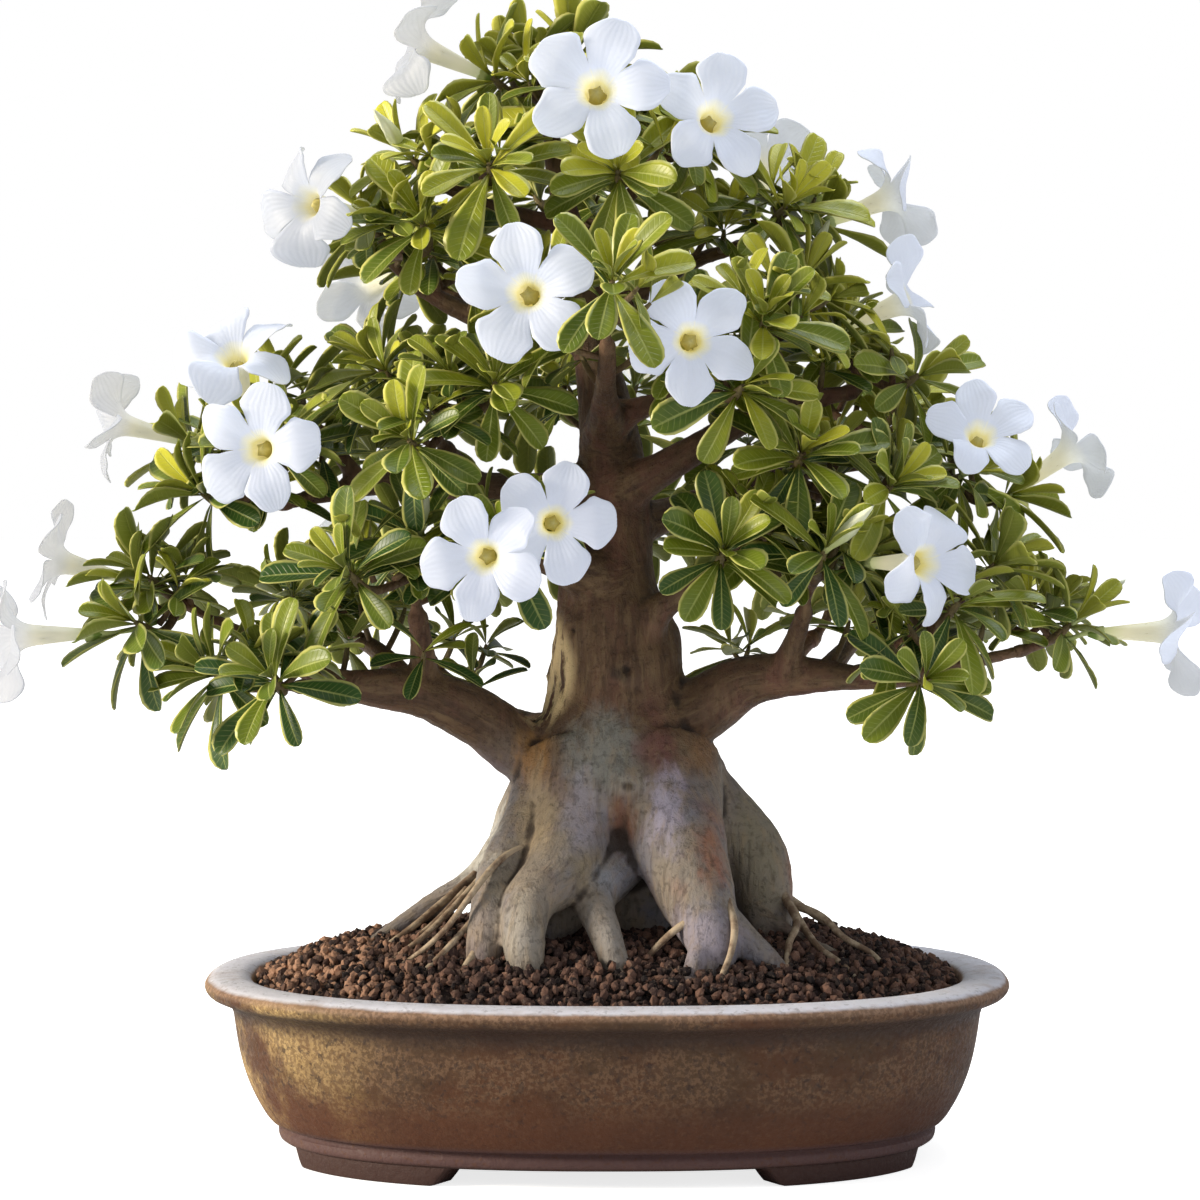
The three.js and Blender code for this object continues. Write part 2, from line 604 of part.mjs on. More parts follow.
// Points over a leaf's blade, close enough together to tell whether it would cross something.
function leafSamples(leaf) {
  const across = leaf.up.clone().cross(leaf.way);
  const [start, end] = CLEAR.over;
  const points = [start, 1].map((t) => leafPoint(leaf, t).middle);
  for (let k = 1; k <= CLEAR.rows; k++) {
    const t = start + ((end - start) * k) / CLEAR.rows;
    const { middle, up } = leafPoint(leaf, t);
    const half = leafHalfWidth(leaf, t);
    for (const s of CLEAR.across)
      points.push(along(along(middle, across, s * half), up, Math.abs(s) * half * LEAF.fold));
  }
  return points;
}

// ---------------------------------------------------------------- room for the leaves

const flowers = BLOOMS.map(([limb, tip, foot, way, roll, size], number) => ({
  limb, tip, number, size, foot: vec(foot), way: vec(way).normalize(), roll: (roll * Math.PI) / 180,
}));

const CLEAR = {
  flower: 2,
  flare: 8, // height of the open lobes over and under the mouth's rim
  view: [50, 24], // height over the mouth and radius of the room that a flower's face keeps free
  wood: 1.6,
  stalk: 3.4,
  leaf: 5.2, // between the sample points of two leaves
  over: [0.22, 0.92], // the part of a leaf that is sampled, besides its tip
  rows: 6,
  across: [-1, -0.5, 0, 0.5, 1], // shares of half the width
  foot: [0.12, 0.24], // where a leaf's foot has to pass the stalks
  far: 1.2, // what is farther off than this many leaf lengths isn't looked at
  swings: [0, 18, -18, 32, -32], // degrees a leaf is swung aside to find room, in this order
};

// True where a point would be in a flower or too near it: its tube widens to the mouth under the lobes.
function inFlower(point, flower) {
  const margin = CLEAR.flower;
  const from = point.clone().sub(flower.foot).divideScalar(flower.size);
  const height = from.dot(flower.way);
  const radius = Math.sqrt(Math.max(0, from.lengthSq() - height * height));
  const [viewHeight, viewRadius] = CLEAR.view;
  if (height > FLOWER.tube && height < FLOWER.tube + viewHeight && radius < viewRadius) return true;
  if (height < -margin || height > FLOWER.tube + CLEAR.flare + margin) return false;
  const opening = (height / FLOWER.tube) ** 2 * (FLOWER.mouthRadius - FLOWER.footRadius);
  const inMouth = height > FLOWER.tube - CLEAR.flare / 2 - margin;
  return radius < margin + (inMouth ? FLOWER.petal : FLOWER.footRadius + opening);
}

// Distance from a point to the wood between two path points.
function offWood(point, a, b) {
  const [pa, pb] = [vec(a), vec(b)];
  const run = pb.clone().sub(pa);
  const t = Math.min(1, Math.max(0, point.clone().sub(pa).dot(run) / run.lengthSq()));
  return point.distanceTo(along(pa, run, t)) - (a[3] + (b[3] - a[3]) * t);
}

// The stalk of a flower leaves the twig under its shoot and ends square to the flower's foot.
function stalkPath(flower) {
  const spray = SPRAYS.find(({ name }) => name === flower.limb);
  const [below, end] = twigPath(spray, flower.tip).slice(-2);
  const from = vec(below).lerp(vec(end), TWIG.stalkAt);
  const to = along(flower.foot, flower.way, -SEAT);
  const before = along(to, flower.way, -STALK.straight);
  const { radius } = STALK;
  return [[...from.toArray(), radius], [...before.toArray(), radius], [...to.toArray(), FLOWER.footRadius]];
}

// A bud stands on the tip of its shoot.
function budPath([limb, tip, lean]) {
  const { foot, axis } = shootAt(limb, tip);
  const side = new THREE.Vector3(-axis.y, axis.x, 0).normalize();
  const way = along(axis, side, lean).normalize();
  const start = along(foot, axis, SHOOT.step * BUD_FOOT);
  return BUD_FORM.map(([distance, radius]) => [...along(start, way, distance).toArray(), radius]);
}

const wood = []; // every stretch of wood, stalk and bud that a leaf has to pass
const addWood = (path) => {
  for (let k = 0; k + 1 < path.length; k++) wood.push([path[k], path[k + 1]]);
};
[TRUNK, ...Object.values(ROOTS), ...Object.values(LIMBS).map(({ path }) => path)].forEach(addWood);
for (const spray of SPRAYS)
  spray.shoots.forEach(({ foot, axis }, order) => {
    const tip = along(foot, axis, 3 * SHOOT.step);
    addWood([...twigPath(spray, order), [...tip.toArray(), SHOOT.radius]]);
  });
const stalks = [...flowers.map(stalkPath), ...BUDS.map(budPath)];
stalks.forEach(addWood);

// True where a stalk or bud comes up right under the leaf's foot.
function overStalk(leaf) {
  const points = CLEAR.foot.map((t) => leafPoint(leaf, t).middle);
  return stalks.some((path) =>
    path.slice(1).some((b, k) => points.some((point) => offWood(point, path[k], b) < CLEAR.stalk)),
  );
}

const leafPoints = []; // sample points of the leaves placed so far

function isClear(leaf) {
  const samples = leafSamples(leaf);
  const reach = leaf.length * CLEAR.far;
  const nearWood = wood.filter(([a, b]) => offWood(leaf.foot, a, b) < reach);
  const nearLeaves = leafPoints.filter((point) => point.distanceTo(leaf.foot) < reach);
  return samples.every(
    (point) =>
      !flowers.some((flower) => inFlower(point, flower)) &&
      !nearWood.some(([a, b]) => offWood(point, a, b) < CLEAR.wood) &&
      !nearLeaves.some((other) => other.distanceTo(point) < CLEAR.leaf),
  );
}

// The leaf for a place on a shoot, swung aside until it is clear of everything, or nothing.
function clearLeaf(shoot, place) {
  for (const swing of CLEAR.swings) {
    const leaf = shootLeaf(shoot, place, swing);
    if (overStalk(leaf) || !isClear(leaf)) continue;
    leafPoints.push(...leafSamples(leaf));
    return leaf;
  }
  return null;
}

// ---------------------------------------------------------------- sprays

// Two directions square to a shoot's axis: the first one points as far up as it can.
function shootFrame({ axis, number }) {
  const side = new THREE.Vector3(0, 0, 1).addScaledVector(axis, -axis.z).normalize();
  return { side: side.applyAxisAngle(axis, chance(number, 7, 7) * Math.PI), other: axis.clone().cross(side) };
}

// The angle of a leaf's place round the shoot: the upper whorl sits between the leaves of the lower one.
const shootTurn = (place) => ((place + (place < SHOOT.sides ? 0 : 0.5)) / SHOOT.sides) * 2 * Math.PI;

// A leaf's blade, drawn out from the diamond of its foot: folded along the midrib, then flat to the tip.
function addLeaf(foot, leaf, face) {
  const left = leaf.way.clone().cross(leaf.up);
  const [fold, flat] = LEAF.stations.map((t) => {
    const { middle, up } = leafPoint(leaf, t);
    const half = leafHalfWidth(leaf, t);
    const edge = (s) => along(along(middle, left, s * half), up, half * LEAF.fold);
    return [along(middle, up, LEAF.thickness / 2), edge(1), along(middle, up, -LEAF.thickness / 2), edge(-1)];
  });
  skin([foot, fold], face);
  const [rib, leftEdge, under, rightEdge] = fold;
  const [, leftTip, underTip, rightTip] = flat;
  face(rib, leftEdge, leftTip);
  face(rib, leftTip, rightTip);
  face(rib, rightTip, rightEdge);
  face(leftEdge, under, underTip);
  face(leftEdge, underTip, leftTip);
  face(under, rightEdge, rightTip);
  face(under, rightTip, underTip);
  skin([[leftTip, underTip, rightTip], [leafPoint(leaf, 1).middle]], face);
}

// A leafy shoot with its twig, as one closed surface. The twig runs on into four staggered rings, and the
// diamonds between the rings are drawn out into leaves, or closed where no leaf has room.
function makeShoot(spray, order) {
  const shoot = spray.shoots[order];
  const { sides, step } = SHOOT;
  const frame = shootFrame(shoot);
  const ring = (middle, radius, phase, heading = shoot.axis) => {
    const turned = new THREE.Quaternion().setFromUnitVectors(shoot.axis, heading);
    return Array.from({ length: sides }, (_, i) => {
      const turn = ((i + phase) / sides) * 2 * Math.PI;
      const spoke = frame.side.clone().multiplyScalar(Math.cos(turn));
      spoke.addScaledVector(frame.other, Math.sin(turn)).applyQuaternion(turned);
      return along(middle, spoke, radius);
    });
  };
  const path = twigPath(spray, order);
  const heading = order ? vec(path[1]).sub(vec(path[0])).normalize() : spray.way;
  const bend = heading.clone().add(shoot.axis).normalize();
  const twig = path.slice(0, -1).map((p, k) => ring(vec(p), p[3], 0, k ? bend : heading));
  const rings = [0, 1, 2, 3].map((k) => {
    const radius = SHOOT.radius + ((SHOOT.tip - SHOOT.radius) * k) / 3;
    return ring(along(shoot.foot, shoot.axis, step * k), radius, k % 2 ? 0.5 : 0);
  });
  const { face, geometry } = collector();
  skin([...twig, rings[0]], face);
  cap(twig[0], face, true);
  cap(rings[3], face, false);
  for (let i = 0; i < sides; i++) {
    const [before, next] = [(i + sides - 1) % sides, (i + 1) % sides];
    face(rings[0][i], rings[0][next], rings[1][i]);
    face(rings[2][i], rings[3][i], rings[3][before]);
    const low = [rings[2][i], rings[1][before], rings[0][i], rings[1][i]];
    const high = [rings[3][i], rings[2][i], rings[1][i], rings[2][next]];
    [low, high].forEach((diamond, whorl) => {
      const leaf = clearLeaf(shoot, i + whorl * sides);
      if (leaf) addLeaf(diamond, leaf, face);
      else cap(diamond, face, false);
    });
  }
  return toSolid(geometry());
}

function makeSpray(spray) {
  const parts = spray.shoots.map((_, order) => makeShoot(spray, order));
  for (const flower of flowers)
    if (flower.limb === spray.name) parts.push(branch(stalkPath(flower), STALK.sides));
  for (const bud of BUDS) if (bud[0] === spray.name) parts.push(branch(budPath(bud), STALK.sides));
  return join(parts);
}

// ---------------------------------------------------------------- flowers

// A trumpet flower on its own axis (+Z): a tube, an open throat and five broad lobes.
function flowerGeometry(flower) {
  const { face, geometry } = collector();
  const at = (degrees, radius, height) => {
    const turn = (degrees * Math.PI) / 180;
    return new THREE.Vector3(radius * Math.cos(turn), radius * Math.sin(turn), height);
  };
  const { petals, tube, mouthRadius, petal, thickness, footRadius, lobe, lip, vary } = FLOWER;
  const step = 360 / petals;
  const throat = new THREE.Vector3(0, 0, tube * FLOWER.throat);
  const foot = Array.from({ length: petals }, (_, p) => at(p * step, footRadius, 0));
  const notch = (p) => at(p * step, mouthRadius + FLOWER.notch, tube);
  for (let p = 0; p < petals; p++) {
    const middle = (p + 0.5) * step;
    const next = foot[(p + 1) % petals];
    const flare = vary.flare * (chance(flower.number, p, 3) - 0.5);
    const reach = petal * (1 + vary.reach * (chance(flower.number, p, 4) - 0.5));
    const outer = lobe.map(([degrees, share, lift], k) =>
      at(middle + degrees, reach * share, tube + lift + (k === lobe.length - 1 ? -flare : flare)),
    );
    const rim = [notch(p), ...outer, notch((p + 1) % petals)];
    const [share, lift] = FLOWER.crest;
    const crest = at(middle, reach * share, tube + lift);
    const under = at(middle, reach * share, tube + lift - thickness);
    const mouth = at(middle, mouthRadius - lip[0], tube + lip[1]);
    const last = rim.length - 1;
    for (let i = 0; i < last; i++) {
      face(crest, rim[i], rim[i + 1]);
      face(under, rim[i + 1], rim[i]);
    }
    face(crest, rim[last], mouth);
    face(crest, mouth, rim[0]);
    face(throat, mouth, rim[last]);
    face(throat, rim[0], mouth);
    face(under, rim[0], rim[last]);
    face(foot[p], rim[last], rim[0]);
    face(foot[p], next, rim[last]);
  }
  cap(foot, face, true);
  return geometry();
}

// ---------------------------------------------------------------- materials and assembly

const material = (color, roughness, name) =>
  new THREE.MeshStandardMaterial({ color, roughness, metalness: 0, name });
const surfaces = {
  pot: () => material(0x7a543a, 0.75, "stoneware"),
  soil: () => material(0x4a3430, 0.95, "soil"),
  screen: () => material(0x22251f, 0.6, "screen"),
  trunk: () => material(0x6e5c4e, 0.8, "bark"),
  spray: () => material(0x4d6e22, 0.45, "leaf"),
  flower: () => material(0xe6e8f0, 0.55, "petal"),
};

const plant = new THREE.Group();

// Adds a named piece. The first word of its name says what it is made of.
function place(name, geometry) {
  const mesh = new THREE.Mesh(geometry, surfaces[name.split("_")[0]]());
  mesh.name = name;
  plant.add(mesh);
  return mesh;
}

place("pot", toGeometry(makePot()));
place("screen_left", toGeometry(makeScreen(-POT.holeX)));
place("screen_right", toGeometry(makeScreen(POT.holeX)));
place("soil", toGeometry(makeSoil()));
place("trunk", toGeometry(makeTrunk()));
for (const spray of SPRAYS) place("spray_" + spray.name, toGeometry(makeSpray(spray)));
for (const flower of flowers) {
  const mesh = place("flower_" + String(flower.number + 1).padStart(2, "0"), flowerGeometry(flower));
  mesh.position.copy(flower.foot);
  mesh.quaternion.setFromUnitVectors(new THREE.Vector3(0, 0, 1), flower.way);
  mesh.rotateZ(flower.roll);
  mesh.scale.setScalar(flower.size);
}

export default plant;
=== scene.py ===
import json
import math

import bmesh
import bpy
import numpy as np
from mathutils import Matrix, Quaternion, Vector, kdtree, noise

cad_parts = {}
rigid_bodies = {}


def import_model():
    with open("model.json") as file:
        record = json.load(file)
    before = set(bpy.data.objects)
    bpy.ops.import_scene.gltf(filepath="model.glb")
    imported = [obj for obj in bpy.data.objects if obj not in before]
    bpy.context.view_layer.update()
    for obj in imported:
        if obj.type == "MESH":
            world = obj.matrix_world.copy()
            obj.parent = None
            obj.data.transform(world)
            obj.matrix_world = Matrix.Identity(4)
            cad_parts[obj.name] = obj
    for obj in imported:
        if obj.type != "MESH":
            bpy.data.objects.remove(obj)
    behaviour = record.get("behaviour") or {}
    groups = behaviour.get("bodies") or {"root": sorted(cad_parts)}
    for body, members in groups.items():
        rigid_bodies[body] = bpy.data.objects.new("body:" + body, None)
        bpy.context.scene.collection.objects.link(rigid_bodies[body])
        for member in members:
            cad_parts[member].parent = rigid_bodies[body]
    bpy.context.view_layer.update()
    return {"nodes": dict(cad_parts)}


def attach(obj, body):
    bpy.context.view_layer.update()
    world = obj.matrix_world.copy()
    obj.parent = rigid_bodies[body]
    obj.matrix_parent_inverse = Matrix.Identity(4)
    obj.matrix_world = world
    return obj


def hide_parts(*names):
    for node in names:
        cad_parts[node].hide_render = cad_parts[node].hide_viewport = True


# A desert rose grown as a bonsai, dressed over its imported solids.
# The values below are in millimetres, as in the part's source. Meshes are in metres.
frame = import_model()
mm = 0.001
print("frame loaded:", len(frame["nodes"]), "solids")

view = {
    "place": (-3.5, -2000, 350),
    "tiltDown": 2.12,  # degrees
    "lens": 120,
    "sensor": 36,
}
lighting = {
    # For each lamp: its place and aim in metres, its size, power and colour.
    "lamps": {
        "key": ((-5.6, -1.3, 1.85), (0, 0, 0.28), 1.75, 535, (1, 0.9, 0.74)),
        "fill": ((2.2, -1.8, 1.2), (0, 0, 0.25), 2.2, 12, (0.9, 0.95, 1)),
        "top": ((0.3, 0.4, 2.6), (0, 0, 0.4), 1.8, 48, (0.88, 0.93, 1)),
    },
    "ambient": 0.44,
    "backdrop": 1.0,
    "floorRadius": 14,
    "floorGrey": 0.86,
    "floorGlow": 0.78,  # brings the floor up to the backdrop's white
}


def setCamera():
    camera = addObject("camera", bpy.data.cameras.new("camera"))
    camera.data.lens = view["lens"]
    camera.data.sensor_width = view["sensor"]
    camera.data.clip_end = 60
    camera.location = Vector(view["place"]) * mm
    camera.rotation_euler = (math.radians(90 - view["tiltDown"]), 0, 0)
    bpy.context.scene.camera = camera


def addLamp(name, place, aim, size, power, colour):
    data = bpy.data.lights.new(name, "AREA")
    data.shape = "DISK"
    data.size = size
    data.energy = power
    data.color = colour
    lamp = addObject(name, data)
    lamp.location = place
    lamp.rotation_euler = (Vector(aim) - Vector(place)).to_track_quat("-Z", "Y").to_euler()


def setBackdrop():  # white where the camera sees it, dimmer as light
    world = bpy.data.worlds.new("studio")
    bpy.context.scene.world = world
    world.use_nodes = True
    tree = world.node_tree
    tree.nodes.clear()
    seen = add(tree, "ShaderNodeBackground", {"Strength": lighting["backdrop"], "Color": (1, 1, 1, 1)})
    felt = add(tree, "ShaderNodeBackground", {"Strength": lighting["ambient"], "Color": (0.95, 0.97, 1, 1)})
    rays = add(tree, "ShaderNodeLightPath").outputs["Is Camera Ray"]
    shown = add(tree, "ShaderNodeMixShader", {0: rays, 1: felt.outputs[0], 2: seen.outputs[0]})
    add(tree, "ShaderNodeOutputWorld", {"Surface": shown.outputs[0]})


def setFloor():
    bpy.ops.mesh.primitive_circle_add(vertices=96, radius=lighting["floorRadius"], fill_type="NGON")
    floor = bpy.context.object
    floor.name = "floor"
    floorPaint = plainMaterial("floorPaint", (lighting["floorGrey"],) * 3, 0.9)
    tree = floorPaint.node_tree
    dull = tree.nodes["finish"].outputs[0]
    glow = add(tree, "ShaderNodeEmission", {"Strength": lighting["floorGlow"]})
    lit = add(tree, "ShaderNodeAddShader", {0: dull, 1: glow.outputs[0]})
    rays = add(tree, "ShaderNodeLightPath").outputs["Is Camera Ray"]
    shown = add(tree, "ShaderNodeMixShader", {0: rays, 1: dull, 2: lit.outputs[0]})
    tree.links.new(shown.outputs[0], tree.nodes["surface"].inputs["Surface"])
    floor.data.materials.append(floorPaint)


def setStudio():
    bpy.context.scene.view_settings.view_transform = "Standard"
    for name, lamp in lighting["lamps"].items():
        addLamp(name + "Light", *lamp)
    setBackdrop()
    setFloor()


def chance(a, b, c):  # a repeatable number from 0 to 1, the same one that the solids use
    h = (a * 374761393 + b * 668265263 + c * 1442695041) & 0xFFFFFFFF
    h = ((h ^ (h >> 13)) * 1274126177) & 0xFFFFFFFF
    return (h ^ (h >> 16)) / 4294967296


def unit(v):
    return v / np.linalg.norm(v)


def smoothStep(t):
    t = np.clip(t, 0, 1)
    return t * t * (3 - 2 * t)


def smoothPath(points, step):  # a smooth curve through rows of numbers, the first three of them a place
    p = np.array(points, float)
    gaps = np.linalg.norm(np.diff(p[:, :3], axis=0), axis=1)
    at = np.concatenate([[0], np.cumsum(gaps)])
    slopes = np.gradient(p, at, axis=0)
    places = np.linspace(0, at[-1], max(2, int(at[-1] / step) + 1))
    k = np.clip(np.searchsorted(at, places, "right") - 1, 0, len(gaps) - 1)
    g = gaps[k][:, None]
    t = ((places - at[k]) / gaps[k])[:, None]
    return (
        (2 * t**3 - 3 * t**2 + 1) * p[k] + (t**3 - 2 * t**2 + t) * slopes[k] * g
        + (3 * t**2 - 2 * t**3) * p[k + 1] + (t**3 - t**2) * slopes[k + 1] * g
    )


def searchTree(places):
    tree = kdtree.KDTree(len(places))
    for k, place in enumerate(places):
        tree.insert(place, k)
    tree.balance()
    return tree


def addObject(name, data):
    item = bpy.data.objects.new(name, data)
    bpy.context.scene.collection.objects.link(item)
    return item


def meshOf(name, verts, faces, edges=()):
    mesh = bpy.data.meshes.new(name)
    mesh.from_pydata([tuple(v) for v in verts], list(edges), faces)
    mesh.update()
    return mesh


def setValues(mesh, name, values, kind="FLOAT"):  # one number, or one vector, for each vertex
    field = "vector" if kind == "FLOAT_VECTOR" else "value"
    layer = mesh.attributes.new(name, kind, "POINT")
    layer.data.foreach_set(field, np.asarray(values).ravel())


def shadeSmooth(mesh):
    mesh.polygons.foreach_set("use_smooth", np.ones(len(mesh.polygons), bool))


def faceOut(mesh):
    work = bmesh.new()
    work.from_mesh(mesh)
    bmesh.ops.recalc_face_normals(work, faces=work.faces)
    work.to_mesh(mesh)
    work.free()


def gridFaces(rows, columns, closed=False, start=0):  # quads over rows of points
    faces = []
    for i in range(rows - 1):
        for j in range(columns if closed else columns - 1):
            a, b = start + i * columns + j, start + i * columns + (j + 1) % columns
            faces.append((a, b, b + columns, a + columns))
    return faces


def cappedFaces(rows, columns):  # closed rings of points, with a flat face over the first and the last
    ends = [tuple(range(columns))[::-1], tuple(range((rows - 1) * columns, rows * columns))]
    return gridFaces(rows, columns, closed=True) + ends


def madePlain(item):  # turns what the modifiers make into the object's own mesh
    depsgraph = bpy.context.evaluated_depsgraph_get()
    mesh = bpy.data.meshes.new_from_object(item.evaluated_get(depsgraph), depsgraph=depsgraph)
    item.modifiers.clear()
    old = item.data
    item.data = mesh
    bpy.data.meshes.remove(old)
    mesh.name = item.name


def paint(item, material):
    item.data.materials.clear()
    item.data.materials.append(material)


def finishPiece(item, slot, *nodes):
    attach(item, "root")
    if nodes:
        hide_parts(*nodes)
    print(item.name, "made:", sum(len(p.vertices) - 2 for p in item.data.polygons), "triangles")


def add(tree, kind, inputs=None, **settings):  # a node; an input is a value or the socket that feeds it
    node = tree.nodes.new(kind)
    for key, value in settings.items():
        setattr(node, key, value)
    for key, value in (inputs or {}).items():
        if isinstance(value, bpy.types.NodeSocket):
            tree.links.new(value, node.inputs[key])
        else:
            node.inputs[key].default_value = value
    return node


def maths(operation, first, *others):  # the first input is a socket, which tells the tree
    inputs = dict(enumerate((first, *others)))
    return add(first.id_data, "ShaderNodeMath", inputs, operation=operation).outputs[0]


def times(first, second):
    return maths("MULTIPLY", first, second)


def plus(first, second):
    return maths("ADD", first, second)


def minus(first, second):
    return maths("SUBTRACT", first, second)


# Geometry node trees

def newTree(name, sockets):  # sockets: {name: socket type} beside the geometry
    tree = bpy.data.node_groups.new(name, "GeometryNodeTree")
    tree.interface.new_socket("Geometry", in_out="OUTPUT", socket_type="NodeSocketGeometry")
    for label, kind in {"Geometry": "Geometry", **sockets}.items():
        tree.interface.new_socket(label, in_out="INPUT", socket_type="NodeSocket" + kind)
    return tree, add(tree, "NodeGroupInput").outputs


def endTree(tree, geometry, material):  # every tree ends in real faces with their material
    real = add(tree, "GeometryNodeRealizeInstances", {"Geometry": geometry})
    painted = add(tree, "GeometryNodeSetMaterial", {"Geometry": real.outputs[0], "Material": material})
    add(tree, "NodeGroupOutput", {"Geometry": painted.outputs[0]})
    return tree


def useTree(item, tree, **values):
    modifier = item.modifiers.new(tree.name, "NODES")
    modifier.node_group = tree
    for socket in tree.interface.items_tree:
        if socket.in_out == "INPUT" and socket.name in values:
            modifier[socket.identifier] = values[socket.name]


def named(tree, name, kind="FLOAT"):
    return add(tree, "GeometryNodeInputNamedAttribute", {"Name": name}, data_type=kind).outputs["Attribute"]


def drawn(tree, kind, low, high, seed):  # a random vector, number or whole number for each point
    first = {"FLOAT_VECTOR": 0, "FLOAT": 2, "INT": 4}[kind]
    limits = {first: low, first + 1: high, "Seed": seed}
    return add(tree, "FunctionNodeRandomValue", limits, data_type=kind).outputs[first // 2]


def vector(tree, **parts):
    return add(tree, "ShaderNodeCombineXYZ", parts).outputs[0]


def rotation(euler):
    return add(euler.id_data, "FunctionNodeEulerToRotation", {"Euler": euler}).outputs[0]


def setCopies(tree, points, shapes, kind, turn, size=(1, 1, 1)):  # one of the shapes on every point
    source = add(
        tree, "GeometryNodeCollectionInfo",
        {"Collection": shapes, "Separate Children": True, "Reset Children": True},
    )
    copies = add(
        tree, "GeometryNodeInstanceOnPoints",
        {
            "Points": points, "Instance": source.outputs[0], "Pick Instance": True,
            "Instance Index": kind, "Rotation": turn, "Scale": size,
        },
    )
    return copies.outputs[0]


def makeTubeTree():  # turns edges with a "thick" radius into closed round tubes
    tree, given = newTree("tubes", {"Sides": "Int", "Material": "Material"})
    lines = add(tree, "GeometryNodeMeshToCurve", {"Mesh": given["Geometry"]})
    ring = add(tree, "GeometryNodeCurvePrimitiveCircle", {"Resolution": given["Sides"], "Radius": 1.0})
    tubes = add(
        tree, "GeometryNodeCurveToMesh",
        {
            "Curve": lines.outputs[0], "Profile Curve": ring.outputs["Curve"],
            "Scale": named(tree, "thick"), "Fill Caps": True,
        },
    )
    smooth = add(tree, "GeometryNodeSetShadeSmooth", {"Geometry": tubes.outputs[0]})
    return endTree(tree, smooth.outputs[0], given["Material"])


def makeCopyTree():  # sets a shape on every point, by the point's turn, size and kind
    tree, given = newTree("copies", {"Shapes": "Collection", "Material": "Material"})
    copies = setCopies(
        tree, given["Geometry"], given["Shapes"], named(tree, "kind", "INT"),
        rotation(named(tree, "turn", "FLOAT_VECTOR")), named(tree, "size", "FLOAT_VECTOR"),
    )
    return endTree(tree, copies, given["Material"])


def makeScatterTree():  # strews shapes over a surface, each lifted, toned, turned and sized by chance
    tree, given = newTree("strewn", {
        "Shapes": "Collection", "Last": "Int", "Material": "Material", "Density": "Float",
        "Smallest": "Float", "Largest": "Float", "Lift": "Float", "Seed": "Int",
    })
    seed, fullTurn = given["Seed"], (6.28, 6.28, 6.28)
    points = add(
        tree, "GeometryNodeDistributePointsOnFaces",
        {"Mesh": given["Geometry"], "Density": given["Density"], "Seed": seed},
    )
    lift = vector(tree, Z=drawn(tree, "FLOAT", 0.0, given["Lift"], 3))
    lifted = add(tree, "GeometryNodeSetPosition", {"Geometry": points.outputs["Points"], "Offset": lift})
    toned = add(
        tree, "GeometryNodeStoreNamedAttribute",
        {"Geometry": lifted.outputs[0], "Name": "tone", "Value": drawn(tree, "FLOAT", 0.0, 1.0, 11)},
        data_type="FLOAT", domain="POINT",
    )
    copies = setCopies(
        tree, toned.outputs[0], given["Shapes"], drawn(tree, "INT", 0, given["Last"], seed),
        rotation(drawn(tree, "FLOAT_VECTOR", (0, 0, 0), fullTurn, seed)),
        drawn(tree, "FLOAT", given["Smallest"], given["Largest"], seed),
    )
    return endTree(tree, copies, given["Material"])


def makeWhorlTree():  # a blossom: lobes round its axis, each tipped a little by chance, on their tube
    tree, given = newTree("whorl", {
        "Shapes": "Collection", "First": "Int", "Last": "Int", "Tube": "Object", "Lobes": "Int",
        "Tip": "Float", "Seed": "Int", "Radius": "Float", "Height": "Float", "Material": "Material",
        "Place": "Vector", "Turn": "Vector", "Size": "Float",
    })
    seed, size = given["Seed"], given["Size"]
    index = add(tree, "GeometryNodeInputIndex").outputs[0]
    angle = times(maths("DIVIDE", index, given["Lobes"]), 2 * math.pi)
    x = times(maths("COSINE", angle), given["Radius"])
    y = times(maths("SINE", angle), given["Radius"])
    points = add(tree, "GeometryNodePoints", {"Count": given["Lobes"]}).outputs[0]
    hinges = {"Geometry": points, "Position": vector(tree, X=x, Y=y, Z=given["Height"])}
    ring = add(tree, "GeometryNodeSetPosition", hinges)
    tip = drawn(tree, "FLOAT", times(given["Tip"], -1.0), given["Tip"], seed)
    turned = add(
        tree, "FunctionNodeRotateRotation",
        {"Rotation": rotation(vector(tree, Z=angle)), "Rotate By": rotation(vector(tree, Y=tip))},
        rotation_space="LOCAL",
    )
    kind = drawn(tree, "INT", given["First"], given["Last"], seed)
    lobes = setCopies(tree, ring.outputs[0], given["Shapes"], kind, turned.outputs[0])
    tube = add(tree, "GeometryNodeObjectInfo", {"Object": given["Tube"]})
    both = add(tree, "GeometryNodeJoinGeometry", {0: lobes})
    tree.links.new(tube.outputs["Geometry"], both.inputs[0])
    real = add(tree, "GeometryNodeRealizeInstances", {"Geometry": both.outputs[0]})
    merged = add(tree, "GeometryNodeMergeByDistance", {"Geometry": real.outputs[0], "Distance": 0.5 * mm})
    placed = add(
        tree, "GeometryNodeTransform",
        {
            "Geometry": merged.outputs[0], "Translation": given["Place"], "Rotation": given["Turn"],
            "Scale": vector(tree, X=size, Y=size, Z=size),
        },
    )
    return endTree(tree, placed.outputs[0], given["Material"])


# Shader groups and small shader tools

def plainMaterial(name, colour, roughness):  # a material with its principled shader alone
    material = bpy.data.materials.new(name)
    material.use_nodes = True
    tree = material.node_tree
    tree.nodes.clear()
    shader = add(
        tree, "ShaderNodeBsdfPrincipled",
        {"Base Color": (*colour, 1), "Roughness": roughness, "Specular IOR Level": 0.3},
    )
    shader.name = "finish"
    add(tree, "ShaderNodeOutputMaterial", {"Surface": shader.outputs[0]}).name = "surface"
    return material


def newFinish(name, colour, roughness):  # a material, and the place on the piece that its patterns follow
    material = plainMaterial(name, colour, roughness)
    return material, add(material.node_tree, "ShaderNodeTexCoord").outputs["Object"]


